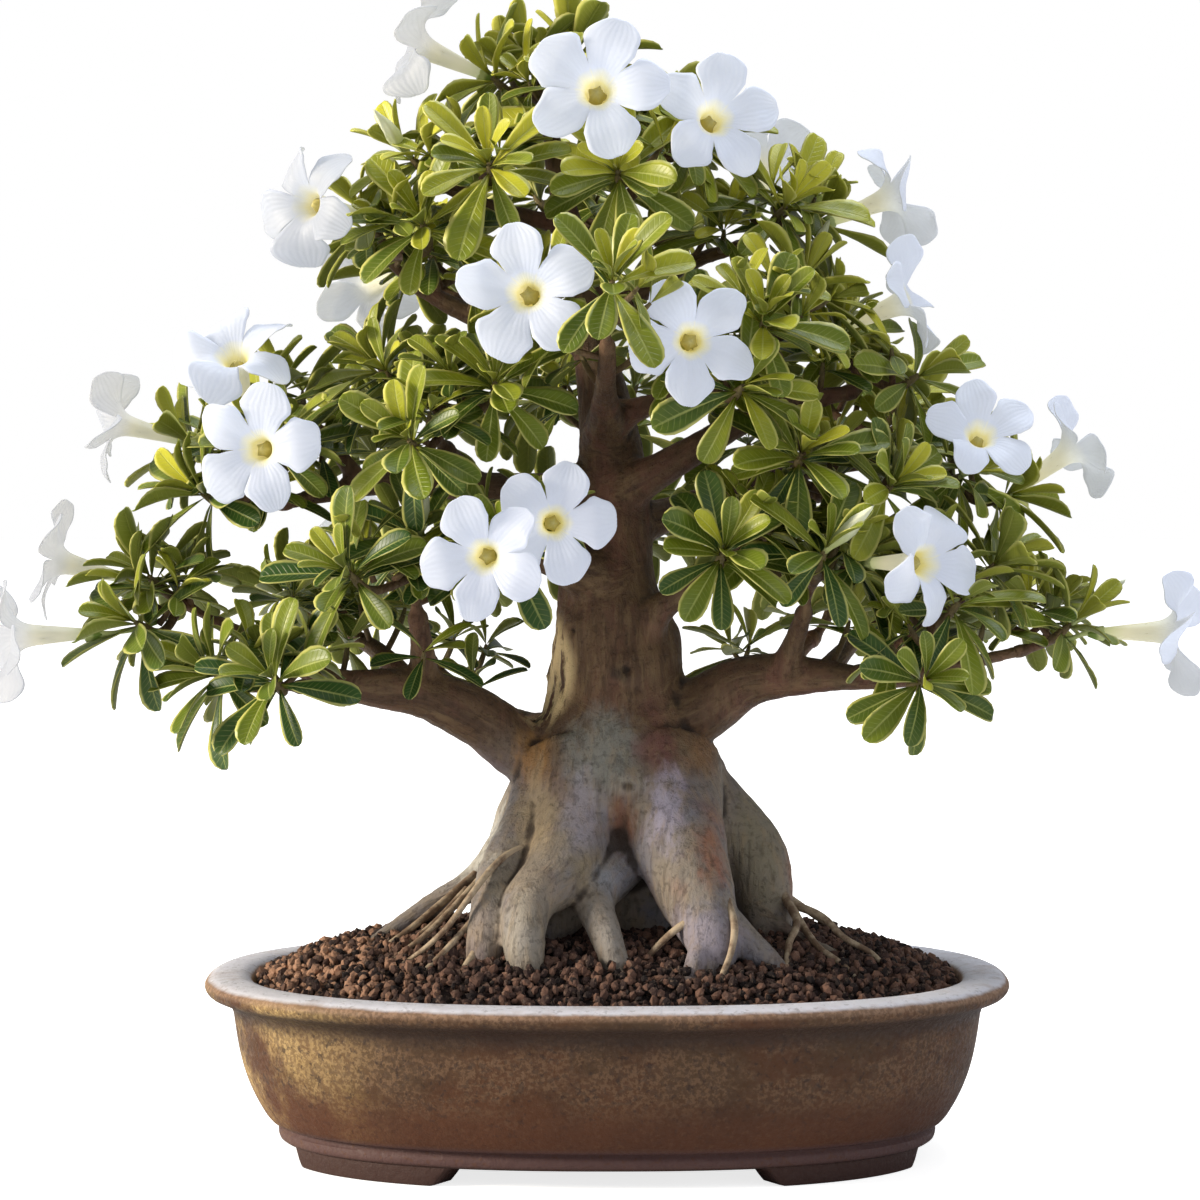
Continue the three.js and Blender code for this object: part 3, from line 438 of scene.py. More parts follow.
def feed(material, **sockets):  # links sockets to the principled shader: Base_Color=..., Normal=...
    tree = material.node_tree
    for name, socket in sockets.items():
        tree.links.new(socket, tree.nodes["finish"].inputs[name.replace("_", " ")])


def field(material, name, part="Fac"):
    return add(material.node_tree, "ShaderNodeAttribute", attribute_name=name).outputs[part]


def partOf(place, axis):
    return add(place.id_data, "ShaderNodeSeparateXYZ", {0: place}).outputs[axis]


def mixed(mask, first, second):  # first where the mask is 0, second where it is 1
    first, second = ((*c, 1) if isinstance(c, tuple) else c for c in (first, second))
    return add(mask.id_data, "ShaderNodeMix", {0: mask, 6: first, 7: second}, data_type="RGBA").outputs[2]


def layered(colour, layers):  # paints over a colour; each layer: where it shows, how strongly, its colour
    for mask, strength, shade in layers:
        colour = mixed(mask if strength == 1 else times(mask, strength), colour, shade)
    return colour


def ranged(value, low, high, start=0.0, end=1.0):  # a smooth step of the value from low to high
    limits = {"Value": value, "From Min": low, "From Max": high, "To Min": start, "To Max": end}
    node = add(value.id_data, "ShaderNodeMapRange", limits, interpolation_type="SMOOTHSTEP")
    return node.outputs["Result"]


def stretched(place, x, y, z):
    return add(place.id_data, "ShaderNodeMapping", {"Vector": place, "Scale": (x, y, z)}).outputs[0]


def cloudy(place, scale, detail, roughness=0.5):
    inputs = {"Vector": place, "Scale": scale, "Detail": detail, "Roughness": roughness}
    return add(place.id_data, "ShaderNodeTexNoise", inputs).outputs["Fac"]


def bumped(height, strength, distance):
    inputs = {"Height": height, "Strength": strength, "Distance": distance}
    return add(height.id_data, "ShaderNodeBump", inputs).outputs["Normal"]


def shaderGroup(name, inputs, outputs):
    group = bpy.data.node_groups.new(name, "ShaderNodeTree")
    for label, kind in inputs.items():
        group.interface.new_socket(label, in_out="INPUT", socket_type="NodeSocket" + kind)
    for label in outputs:
        group.interface.new_socket(label, in_out="OUTPUT", socket_type="NodeSocketFloat")
    return group, add(group, "NodeGroupInput").outputs


def makePatchGroup():  # a mask of soft-edged patches: Level sets how much they cover, Edge how soft they are
    inputs = {"Vector": "Vector", "Scale": "Float", "Level": "Float", "Edge": "Float"}
    group, given = shaderGroup("patches", inputs, ["Mask"])
    low, high = minus(given["Level"], given["Edge"]), plus(given["Level"], given["Edge"])
    mask = ranged(cloudy(given["Vector"], given["Scale"], 5.0, 0.62), low, high)
    add(group, "NodeGroupOutput", {"Mask": mask})
    return group


def makeGrainGroup():  # fine uneven grain with a few pits in it, as a height
    group, given = shaderGroup("grain", {"Vector": "Vector", "Scale": "Float"}, ["Height"])
    pitScale = times(given["Scale"], 1.7)
    cells = add(group, "ShaderNodeTexVoronoi", {"Vector": given["Vector"], "Scale": pitScale})
    pits = ranged(cells.outputs["Distance"], 0.0, 0.28, 1.0, 0.0)
    some = times(pits, ranged(cloudy(given["Vector"], pitScale, 1.0), 0.5, 0.62))
    height = minus(cloudy(given["Vector"], given["Scale"], 6.0, 0.7), times(some, 0.35))
    add(group, "NodeGroupOutput", {"Height": height})
    return group


def makeStainGroup():  # one soft-edged uneven stain round a place
    inputs = dict.fromkeys(("Vector", "Centre", "Reach"), "Vector")
    group, given = shaderGroup("stain", {**inputs, "Uneven": "Float", "Strength": "Float"}, ["Mask"])
    off = add(group, "ShaderNodeVectorMath", {0: given["Vector"], 1: given["Centre"]}, operation="SUBTRACT")
    share = add(group, "ShaderNodeVectorMath", {0: off.outputs[0], 1: given["Reach"]}, operation="DIVIDE")
    away = add(group, "ShaderNodeVectorMath", {0: share.outputs[0]}, operation="LENGTH").outputs["Value"]
    mask = ranged(plus(away, given["Uneven"]), 1.35, 0.4)
    add(group, "NodeGroupOutput", {"Mask": times(mask, given["Strength"])})
    return group


def patches(place, scale, level, edge, most=1.0):
    inputs = {"Vector": place, "Scale": scale, "Level": level, "Edge": edge}
    mask = add(place.id_data, "ShaderNodeGroup", inputs, node_tree=patchGroup).outputs["Mask"]
    return mask if most == 1 else times(mask, most)


def grain(place, scale):
    inputs = {"Vector": place, "Scale": scale}
    return add(place.id_data, "ShaderNodeGroup", inputs, node_tree=grainGroup).outputs["Height"]


stonewareLook = {
    "clay": (0.073, 0.026, 0.009),
    "dark": (0.036, 0.014, 0.006),
    "pale": (0.132, 0.072, 0.038),
    "lichenAndSunlight": (0.52, 0.36, 0.15),  # lichen-like pale patches and painted sunlight on the sunny left end
    "olive": (0.060, 0.033, 0.014),
    "buffAndHighlight": (0.30, 0.185, 0.12),  # worn buff patches on the lip, and a painted highlight along its upper outer edge
    "dustAndSkyReflection": (0.76, 0.77, 0.86),  # dust on top of the lip, made paler and bluer as a painted reflection of the sky
    # dark specks and pits in the clay, and painted shade in the cove under the lip
    "sootAndShade": (0.026, 0.013, 0.009),
    "wine": (0.100, 0.034, 0.016),  # near the base
    "plumAndSheen": (0.092, 0.050, 0.050),  # the base ring: its plum-brown, and a painted purple-grey sheen
    "umber": (0.040, 0.017, 0.013),  # the feet, and painted shade along the base ring's lower edge
    "roughness": 0.62,
    # Heights in metres between which each band of colour fades in.
    "bands": {
        "olive": (0.030, 0.062), "crust": (0.028, 0.048), "wine": (0.050, 0.022),
        "ring": (0.0215, 0.0175), "feet": (0.0112, 0.0095), "cove": (0.067, 0.0765),
        "coveTop": (0.0845, 0.0800), "edge": (0.0845, 0.0882),
    },
    "lipBand": (0.0884, 0.0902),
    "sunlitPotEnd": (-0.09, -0.185),
}


def stonewareMaterial():
    look = stonewareLook
    material, place = newFinish("stoneware", look["clay"], look["roughness"])
    height = partOf(place, "Z")
    band = {name: ranged(height, *ends) for name, ends in look["bands"].items()}
    crumbs = patches(place, 480, 0.51, 0.07)
    crust = times(patches(stretched(place, 1, 1, 2.2), 24, 0.48, 0.05), band["crust"])
    pits = patches(place, 330, 0.57, 0.04)
    # the left end, where lichen-like patches and painted sunlight go
    end = times(ranged(partOf(place, "X"), *look["sunlitPotEnd"]), ranged(crumbs, 0.0, 1.0, 0.4, 0.9))
    speckles = patches(place, 330, 0.6, 0.05)
    dots = patches(stretched(place, 1.1, 1, 1), 260, 0.61, 0.04)
    # the lip's top: dust, worn patches and specks, with a painted reflection of the sky
    lipTopColour = layered(look["dustAndSkyReflection"], [
        (patches(place, 45, 0.62, 0.14), 0.45, look["buffAndHighlight"]), (dots, 0.3, look["dark"]),
    ])
    lip = plus(height, patches(place, 70, 0.5, 0.3, 0.0008))
    colour = layered(look["clay"], [
        (patches(place, 16, 0.55, 0.14), 1, look["dark"]),
        (times(band["olive"], patches(place, 15, 0.5, 0.12)), 0.7, look["olive"]),
        (times(crust, ranged(crumbs, 0.0, 1.0, 0.15, 0.85)), 1, look["pale"]),
        (times(crust, pits), 0.75, look["sootAndShade"]),
        (times(end, patches(place, 20, 0.46, 0.1)), 1, look["lichenAndSunlight"]),
        (speckles, 0.4, look["pale"]),
        (dots, 0.7, look["sootAndShade"]),
        (band["wine"], 0.5, look["wine"]),
        # the base ring's colour with its painted sheen
        (times(band["ring"], ranged(speckles, 1.0, 0.0, 0.4, 0.85)), 1, look["plumAndSheen"]),
        # the feet's dark brown, also painted shade along the base ring's lower edge
        (band["feet"], 0.85, look["umber"]),
        # painted shade in the cove under the lip
        (times(band["cove"], band["coveTop"]), 0.8, look["sootAndShade"]),
        # painted highlight along the lip's upper outer edge
        (times(band["edge"], ranged(crumbs, 0.0, 1.0, 0.5, 0.9)), 1, look["buffAndHighlight"]),
        (ranged(lip, *look["lipBand"]), 0.85, lipTopColour),
    ])
    fine = grain(place, 420)
    relief = plus(fine, patches(place, 60, 0.5, 0.3, 1.4))
    feed(
        material, Base_Color=colour, Normal=bumped(relief, 0.5, 0.0009),
        Roughness=ranged(fine, 0.3, 0.7, 0.5, 0.82),
    )
    return material


soilLook = {
    "granule": (0.058, 0.032, 0.027),
    "redder": (0.165, 0.088, 0.062),
    "darker": (0.014, 0.009, 0.009),
    "dust": (0.24, 0.165, 0.12),
    "sunlitTan": (0.46, 0.26, 0.165),  # painted sunlight: paler granules at the sunny left end
    "sunlitEnd": (-0.07, -0.14),
    "roughness": 0.9,
}


def soilMaterial(name, byPiece):  # granules take their shade from their own "tone"
    look = soilLook
    material, place = newFinish(name, look["granule"], look["roughness"])
    tone = field(material, "tone") if byPiece else patches(place, 220, 0.5, 0.2, 0.3)
    # painted sunlight on the granules of the left end
    sunlitTan = times(ranged(partOf(place, "X"), *look["sunlitEnd"]), ranged(tone, 0.3, 0.8))
    colour = layered(look["granule"], [
        (ranged(tone, 0.35, 0.95), 1, look["redder"]),
        (ranged(tone, 0.42, 0.05), 1, look["darker"]),
        (sunlitTan, 0.75, look["sunlitTan"]),
        (patches(place, 500, 0.6, 0.06), 0.5, look["dust"]),
    ])
    feed(material, Base_Color=colour, Normal=bumped(grain(place, 700), 0.7, 0.0012))
    return material


screenLook = {
    "base": (0.018, 0.021, 0.016), "other": (0.07, 0.075, 0.06), "roughness": 0.5,
    "patches": (150, 0.6, 0.1), "grain": 600, "bump": (0.25, 0.0004),
}
thinRootLook = {
    "base": (0.42, 0.33, 0.23), "other": (0.17, 0.11, 0.07), "roughness": 0.7,
    "patches": (120, 0.5, 0.12), "grain": 800, "bump": (0.5, 0.0006),
}


def mottledMaterial(name, look):  # two colours in patches over a fine grain
    material, place = newFinish(name, look["base"], look["roughness"])
    colour = mixed(patches(place, *look["patches"]), look["base"], look["other"])
    feed(material, Base_Color=colour, Normal=bumped(grain(place, look["grain"]), *look["bump"]))
    return material


barkLook = {
    "grey": (0.245, 0.205, 0.165),
    "blueGrey": (0.180, 0.172, 0.20),
    "reddish": (0.24, 0.090, 0.070),
    "brown": (0.092, 0.050, 0.028),
    "umber": (0.140, 0.084, 0.044),
    "tan": (0.34, 0.23, 0.115),
    "straw": (0.66, 0.50, 0.27),  # peeling skin
    "deep": (0.022, 0.013, 0.009),
    "moss": (0.13, 0.12, 0.04),
    "roughness": 0.6,
    "upperBand": (0.182, 0.240),  # heights in metres over which the brown upper bark fades in
    "soilBand": (0.118, 0.096),  # and the soil's stain on the roots
    "stainDepth": 2.2,  # a stain's reach from front to back, as a share of its width
    # Stains on the swollen foot and the roots: place, reach across and up in mm, strength and colour.
    "stains": [
        ((-2, -44, 203), 22, 20, 0.65, (0.25, 0.26, 0.235)),
        ((-34, -28, 197), 12, 14, 0.8, (0.34, 0.17, 0.05)),
        ((24, -46, 204), 11, 12, 0.75, (0.15, 0.055, 0.050)),
        ((44, -32, 200), 11, 14, 0.7, (0.23, 0.115, 0.05)),
        ((30, -50, 167), 11, 26, 0.85, (0.42, 0.38, 0.49)),
        ((47, -52, 152), 13, 34, 0.5, (0.22, 0.12, 0.10)),
        ((48, -56, 146), 11, 22, 0.75, (0.32, 0.125, 0.065)),
        ((36, -66, 138), 8, 9, 0.6, (0.27, 0.15, 0.12)),
        ((-34, -42, 170), 11, 24, 0.7, (0.46, 0.35, 0.21)),
        ((-13, -54, 172), 9, 24, 0.65, (0.35, 0.315, 0.36)),
        ((-10, -56, 147), 14, 11, 0.6, (0.25, 0.19, 0.095)),
        ((8, -44, 170), 9, 18, 0.9, (0.15, 0.06, 0.03)),
        ((8, -40, 158), 6, 9, 0.95, (0.02, 0.012, 0.009)),
        ((46, -84, 118), 18, 16, 0.75, (0.27, 0.24, 0.295)),
        ((-57, -72, 122), 15, 30, 0.5, (0.25, 0.22, 0.165)),
        ((2, -78, 118), 14, 24, 0.7, (0.31, 0.285, 0.265)),
        ((0, -50, 142), 12, 10, 0.75, (0.25, 0.27, 0.32)),
        ((-40, -90, 114), 13, 20, 0.6, (0.37, 0.33, 0.27)),
        ((74, -14, 150), 15, 30, 0.55, (0.20, 0.175, 0.105)),
        ((93, -8, 138), 7, 20, 0.6, (0.28, 0.12, 0.07)),
        ((-62, 10, 150), 24, 26, 0.8, (0.56, 0.55, 0.51)),
        ((-44, -10, 150), 11, 14, 0.7, (0.30, 0.17, 0.08)),
        ((7, -34, 241), 5, 5, 0.85, (0.03, 0.018, 0.012)),
        ((9, -52, 188), 7, 5.5, 0.4, (0.36, 0.32, 0.26)),
        ((10, -52, 187), 3.4, 2.8, 0.9, (0.03, 0.018, 0.012)),
        ((4, 50, 190), 30, 24, 0.6, (0.27, 0.19, 0.09)),
        ((-20, 60, 160), 16, 26, 0.7, (0.26, 0.235, 0.28)),
        ((40, 66, 150), 12, 22, 0.7, (0.26, 0.12, 0.08)),
    ],
}


def stained(colour, place, stains):  # the stains share one cloud that makes their edges uneven
    uneven = times(minus(cloudy(stretched(place, 1, 1, 0.4), 110.0, 5.0, 0.65), 0.5), 2.1)
    for (x, y, z), across, up, strength, shade in stains:
        inputs = {
            "Vector": place, "Uneven": uneven, "Centre": (x * mm, y * mm, z * mm),
            "Reach": (across * mm, barkLook["stainDepth"] * across * mm, up * mm), "Strength": strength,
        }
        mask = add(place.id_data, "ShaderNodeGroup", inputs, node_tree=stainGroup).outputs["Mask"]
        colour = mixed(mask, colour, shade)
    return colour


def barkMaterial():
    look = barkLook
    material, place = newFinish("bark", look["grey"], look["roughness"])
    height = partOf(place, "Z")
    flow = field(material, "flow", "Vector")
    level = field(material, "level")  # 0 where the wood stands up, 1 where it lies level

    def streaked(scale, cover, edge, squeeze):  # patches drawn out along the wood
        upright = patches(stretched(place, 1, 1, squeeze), scale, cover, edge)
        lying = patches(stretched(flow, 1, 1, squeeze), scale, cover, edge)
        blend = {0: level, 2: upright, 3: lying}
        return add(material.node_tree, "ShaderNodeMix", blend, data_type="FLOAT").outputs[0]

    lower = layered(look["grey"], [
        (patches(place, 22, 0.54, 0.12), 1, look["blueGrey"]),
        (patches(stretched(place, 1, 1, 0.5), 20, 0.6, 0.09), 0.3, look["reddish"]),
    ])
    upper = layered(look["brown"], [
        (streaked(90, 0.53, 0.1, 0.2), 1, look["umber"]),
        (patches(stretched(place, 1, 1, 0.4), 40, 0.56, 0.1), 0.35, look["reddish"]),
    ])
    border = plus(height, patches(place, 26, 0.5, 0.4, 0.03))
    colour = mixed(ranged(border, *look["upperBand"]), lower, upper)
    pale = streaked(210, 0.56, 0.1, 0.14)
    dark = streaked(280, 0.57, 0.07, 0.12)
    rings = patches(stretched(place, 0.5, 0.5, 2.4), 110, 0.61, 0.05)
    pocks = patches(place, 330, 0.6, 0.07)
    strips = patches(stretched(place, 1, 1, 0.3), 150, 0.47, 0.05)
    peel = times(ranged(field(material, "peel"), 0.25, 0.7), strips)
    soiled = times(ranged(height, *look["soilBand"]), patches(place, 80, 0.5, 0.15))
    colour = layered(stained(colour, place, look["stains"]), [
        (pale, 0.26, look["tan"]),
        (dark, 0.34, look["deep"]),
        (rings, 0.12, look["deep"]),
        (pocks, 0.3, look["deep"]),
        (peel, 1, look["straw"]),
        # painted shade in the hollows and creases of the wood
        (ranged(field(material, "hollow"), 0.3, 0.9), 0.88, look["deep"]),
        (soiled, 0.5, look["deep"]),
        (ranged(field(material, "young"), 0.35, 1.0), 0.6, look["moss"]),
    ])
    fine = grain(stretched(place, 1, 1, 0.35), 620)
    relief = fine
    for mask, rise in ((rings, -0.15), (pale, 0.35), (dark, -0.4), (pocks, -0.5), (peel, 1.2)):
        relief = plus(relief, times(mask, rise))
    feed(
        material, Base_Color=colour, Normal=bumped(relief, 0.6, 0.0014),
        Roughness=ranged(fine, 0.35, 0.7, 0.48, 0.75),
    )
    return material


leafLook = {
    "deep": (0.026, 0.066, 0.010),
    "fresh": (0.150, 0.190, 0.012),
    "yellow": (0.52, 0.50, 0.035),
    "rib": (0.52, 0.55, 0.17),
    "margin": (0.62, 0.60, 0.18),
    "under": (0.24, 0.26, 0.05),
    "roughness": 0.36,
    "dullUnder": 0.55,  # the roughness of the underside
    "veins": 15,  # pairs of side veins
}


def leafMaterial():  # "tone" is 0 on a deep green leaf and 1 on a yellow one
    look = leafLook
    material, place = newFinish("leaf", look["fresh"], look["roughness"])
    tone, along, across, back = (field(material, name) for name in ("tone", "along", "across", "back"))
    side = maths("ABSOLUTE", across)
    shade = minus(plus(tone, patches(place, 45, 0.5, 0.3, 0.24)), 0.12)
    slant = minus(along, times(side, 0.12))
    wave = maths("SINE", times(slant, look["veins"] * 2 * math.pi))
    veins = times(ranged(wave, 0.72, 1.0), ranged(side, 0.95, 0.3))
    rib = ranged(side, 0.105, 0.03)
    colour = layered(look["deep"], [
        (ranged(shade, 0.0, 0.5), 1, look["fresh"]),
        (ranged(shade, 0.45, 1.0), 1, look["yellow"]),
        (veins, 0.14, look["rib"]),
        (times(rib, ranged(along, 1.0, 0.2, 0.25, 0.8)), 1, look["rib"]),
        (ranged(side, 0.74, 0.93), 0.8, look["margin"]),
        (back, 0.55, look["under"]),
        (ranged(along, 0.16, 0.0), 0.6, look["yellow"]),
    ])
    relief = minus(times(rib, -0.7), times(veins, 0.3))
    feed(
        material, Base_Color=colour, Normal=bumped(relief, 0.5, 0.0008),
        Roughness=ranged(back, 0.0, 1.0, look["roughness"], look["dullUnder"]),
    )
    return material


petalLook = {
    "white": (0.37, 0.40, 0.49),
    "outer": (0.30, 0.315, 0.345),  # the side that faces away from the throat, darkened as painted shade
    "dull": (0.22, 0.23, 0.255),  # painted shade on the blossoms that face the sunny side
    "cream": (0.47, 0.455, 0.335),
    "olive": (0.40, 0.33, 0.075),
    "yellow": (0.50, 0.44, 0.16),
    "lime": (0.30, 0.345, 0.15),
    "roughness": 0.5,
    "veins": 9,
    "soft": 0.5,  # the share of light that passes through
    "softReach": 0.006,
    "glow": 0.72,  # painted glow: the petals emit this much of their colour, standing in for the light that shines through a thin petal
}


def petalMaterial(name, inside):  # "reach" is -1 at the tube's foot, 0 at the mouth and 1 at a lobe's tip
    look = petalLook
    # the outer side's darker colour is painted shade
    base = look["white"] if inside else look["outer"]
    material, place = newFinish(name, look["white"], look["roughness"])
    settings = {
        "Subsurface Weight": look["soft"], "Subsurface Radius": (1, 1, 1),
        "Subsurface Scale": look["softReach"], "Emission Strength": look["glow"],
    }
    for label, value in settings.items():
        material.node_tree.nodes["finish"].inputs[label].default_value = value
    reach, across = field(material, "reach"), field(material, "across")
    wave = maths("SINE", times(across, look["veins"] * math.pi))
    if inside:
        star = plus(reach, times(maths("ABSOLUTE", across), 0.05))
        throat = [
            (ranged(star, 0.09, -0.07), 1, look["cream"]),
            (ranged(star, -0.02, -0.17), 1, look["yellow"]),
            (times(ranged(wave, 0.1, 0.9), ranged(reach, -0.08, -0.2)), 0.25, look["olive"]),
            (ranged(reach, -0.15, -0.5), 1, look["olive"]),
        ]
    else:
        throat = [
            (ranged(reach, 0.2, -0.4), 1, look["cream"]),
            (ranged(reach, -0.55, -1.0), 1, look["lime"]),
        ]
    colour = layered(base, throat + [
        (patches(place, 70, 0.5, 0.3), 0.05, look["cream"]),
        # painted shade on the blossoms that face the key lamp
        (times(field(material, "age"), ranged(reach, -0.3, 0.1, 0.3, 0.85)), 1, look["dull"]),
    ])
    relief = plus(times(wave, 0.5), grain(place, 900))
    # the petal's colour is also emitted, a painted glow
    feed(material, Base_Color=colour, Emission_Color=colour, Normal=bumped(relief, 0.16, 0.0006))
    return material


stemLook = {
    "green": (0.16, 0.24, 0.045),
    "pale": (0.45, 0.50, 0.20),
    "cream": (0.72, 0.74, 0.56),
    "roughness": 0.45,
}


def stemMaterial(name, base, tip, guide):  # one colour at 0 of the guiding field, another at 1
    material, place = newFinish(name, base, stemLook["roughness"])
    colour = layered(base, [
        (ranged(field(material, guide), 0.1, 0.8), 1, tip),
        (patches(place, 160, 0.55, 0.1), 0.25, base),
    ])
    feed(material, Base_Color=colour, Normal=bumped(grain(place, 700), 0.3, 0.0004))
    return material


stainGroup = makeStainGroup()
patchGroup = makePatchGroup()
grainGroup = makeGrainGroup()
tubeTree = makeTubeTree()
copyTree = makeCopyTree()
scatterTree = makeScatterTree()
whorlTree = makeWhorlTree()
setCamera()
setStudio()
print("camera, studio, groups and trees ready")


pot = {
    "length": 402,
    "depth": 310,
    "squareness": 2.4,
    "sides": 168,
    # [inset from the lip's edge, height], from the underside out, up, over the lip and down inside
    "wall": [
        [43, 9], [39.6, 9.1], [37.4, 10.2], [36.7, 12.5], [37, 15], [38.6, 16.6], [37.6, 17.7], [34, 18.4],
        [31.2, 21], [28.2, 25.6], [24.7, 32], [21.7, 39], [19.2, 46.5], [17.4, 54], [16, 62], [15, 69],
        [14.3, 73], [13, 76], [9.6, 78.7], [5.4, 80.4], [2.3, 82], [0.8, 84], [0.4, 86], [1.3, 88],
        [4, 89.7], [9, 90.7], [14, 91], [19, 90.7], [22.4, 89.6], [24.3, 87.5], [25.4, 84], [26.7, 70],
        [28.2, 52], [36.3, 38], [43.6, 25], [48, 19], [56, 18.5],
    ],
    "profileStep": 1.5,
    "middleInset": 120,  # where the floor's flat middle starts
    "footInset": 39,
    "footWidth": 17,
    "footTop": 10.5,
    "footEdge": 1.6,  # rounding of its lower edges
    "footSlope": 10,  # length of the ogee at each end
    "frontGap": 150,
    "endGap": 96,
    "underside": 9,
    "holeRadius": 9,
    "holeX": 82,
    "drillDepth": 40,
    "sharpAngle": 38,  # degrees
}


def potOutline(inset, turns):  # x and y of the pot's rounded outline, inset from the lip's edge
    power = 2 / pot["squareness"]
    c, s = np.cos(turns), np.sin(turns)
    x = (pot["length"] / 2 - inset) * np.sign(c) * np.abs(c) ** power
    y = (pot["depth"] / 2 - inset) * np.sign(s) * np.abs(s) ** power
    return x, y


def potRings(profile, sides):
    turns = np.arange(sides) / sides * 2 * math.pi
    rings = []
    for inset, height in profile:
        x, y = potOutline(inset, turns)
        rings.append(np.stack([x, y, np.full(sides, height)], 1))
    return np.concatenate(rings) * mm


def makeBowl():
    rows = smoothPath([[*point, 0] for point in pot["wall"]], pot["profileStep"])[:, :2]
    under, floor = pot["wall"][0][1], pot["wall"][-1][1]
    profile = [[pot["middleInset"], under], *rows, [pot["middleInset"], floor]]
    return meshOf("bowl", potRings(profile, pot["sides"]), cappedFaces(len(profile), pot["sides"]))


def makeFoot(sideX, sideY, stations=44):
    outer, inner = pot["footInset"], pot["footInset"] + pot["footWidth"]
    halfLength, halfDepth = pot["length"] / 2 - outer, pot["depth"] / 2 - outer
    first = math.acos((pot["frontGap"] / 2 / halfLength) ** (pot["squareness"] / 2))
    last = math.asin((pot["endGap"] / 2 / halfDepth) ** (pot["squareness"] / 2))
    turns = np.linspace(first, last, stations)
    x, y = potOutline(outer, turns)
    run = np.concatenate([[0], np.cumsum(np.hypot(np.diff(x), np.diff(y)))])
    toEnd = np.minimum(run, run[-1] - run)
    rise = pot["underside"] * (1 - smoothStep(toEnd / pot["footSlope"]))
    edge, top = pot["footEdge"], pot["footTop"]
    verts = []
    for turn, low in zip(turns, rise):
        section = [
            (outer, top), (outer, low + edge), (outer + edge * 0.3, low + edge * 0.3), (outer + edge, low),
            (inner - edge, low), (inner - edge * 0.3, low + edge * 0.3), (inner, low + edge), (inner, top),
        ]
        for inset, height in section:
            px, py = potOutline(inset, np.array([turn]))
            verts.append((px[0] * sideX * mm, py[0] * sideY * mm, height * mm))
    mesh = meshOf("foot", verts, cappedFaces(stations, 8))
    faceOut(mesh)
    return mesh


def combine(item, other, operation):  # joins a closed shape to the item, or cuts it away
    modifier = item.modifiers.new("shape", "BOOLEAN")
    modifier.operation = operation
    modifier.solver = "MANIFOLD"
    modifier.object = other
    madePlain(item)
    bpy.data.objects.remove(other)


def makePot():
    item = addObject("potShell", makeBowl())
    faceOut(item.data)
    for sideX in (-1, 1):
        for sideY in (-1, 1):
            combine(item, addObject("foot", makeFoot(sideX, sideY)), "UNION")
    for x in (-pot["holeX"], pot["holeX"]):
        place = (x * mm, 0, pot["underside"] * mm)
        bpy.ops.mesh.primitive_cylinder_add(
            vertices=40, radius=pot["holeRadius"] * mm, depth=pot["drillDepth"] * mm, location=place,
        )
        combine(item, bpy.context.object, "DIFFERENCE")
    shadeSmooth(item.data)
    paint(item, stonewareMaterial())
    item.data.set_sharp_from_angle(angle=math.radians(pot["sharpAngle"]))
    finishPiece(item, "stoneware", "pot")


soil = {
    "side": [[49.4, 19.1], [29.4, 52], [27.6, 80], [26.6, 84.5]],
    "edge": 84.5,
    "mound": 26,
    "steepness": 3.5,
    "rings": 26,
    "sides": 140,
    "lumps": 1.6,  # height of its unevenness
    "lumpSize": 16,
    "granuleKinds": 6,
    "granuleShape": (1.2, 1, 0.75),
    "granuleUneven": 0.5,
    "granuleSizes": (0.5, 1.2),
    "granuleRadius": 2.5,
    "density": 100000,  # granules on a square metre
    "lift": 4.4,  # they lie in a loose layer this deep
    "seed": 7,
}


def soilTop(share):
    return soil["edge"] + soil["mound"] * (1 - share ** soil["steepness"])


def makeGranuleShapes(material):  # angular chips: balls of twenty faces, pushed about by chance
    shapes = bpy.data.collections.new("granuleShapes")
    for kind in range(soil["granuleKinds"]):
        work = bmesh.new()
        bmesh.ops.create_icosphere(work, subdivisions=1, radius=1.0)
        for k, v in enumerate(work.verts):
            uneven = 1 + soil["granuleUneven"] * (chance(kind, k, 31) - 0.5)
            v.co *= Vector(soil["granuleShape"]) * uneven * soil["granuleRadius"] * mm
        mesh = bpy.data.meshes.new("granule%d" % kind)
        work.to_mesh(mesh)
        work.free()
        mesh.materials.append(material)
        shapes.objects.link(bpy.data.objects.new("granule%d" % kind, mesh))
    return shapes


def dropShapes(shapes):  # the patterns that were copied aren't pieces themselves
    for item in list(shapes.objects):
        bpy.data.objects.remove(item)
    bpy.data.collections.remove(shapes)


def makeSoil():
    sides = soil["sides"]
    edgeInset = soil["side"][-1][0]
    turns = np.arange(sides) / sides * 2 * math.pi
    edgeX, edgeY = potOutline(edgeInset, turns)
    verts = [potRings(soil["side"], sides)]
    for k in range(soil["rings"] - 1, 0, -1):
        share = k / soil["rings"]
        ring = np.stack([edgeX * share, edgeY * share, np.full(sides, soilTop(share))], 1)
        for point in ring:
            spot = Vector((point[0], point[1], 0)) / soil["lumpSize"]
            point[2] += soil["lumps"] * noise.noise(spot)
        verts.append(ring * mm)
    verts = np.concatenate(verts)
    faces = cappedFaces(len(soil["side"]) + soil["rings"] - 1, sides)
    item = addObject("soilBed", meshOf("soilBed", verts, faces))
    faceOut(item.data)
    shadeSmooth(item.data)
    paint(item, soilMaterial("soil", False))
    finishPiece(item, "soil", "soil")
    topStart = (len(soil["side"]) - 1) * sides
    strewGranules(meshOf("granules", verts, [f for f in faces if min(f) >= topStart]))


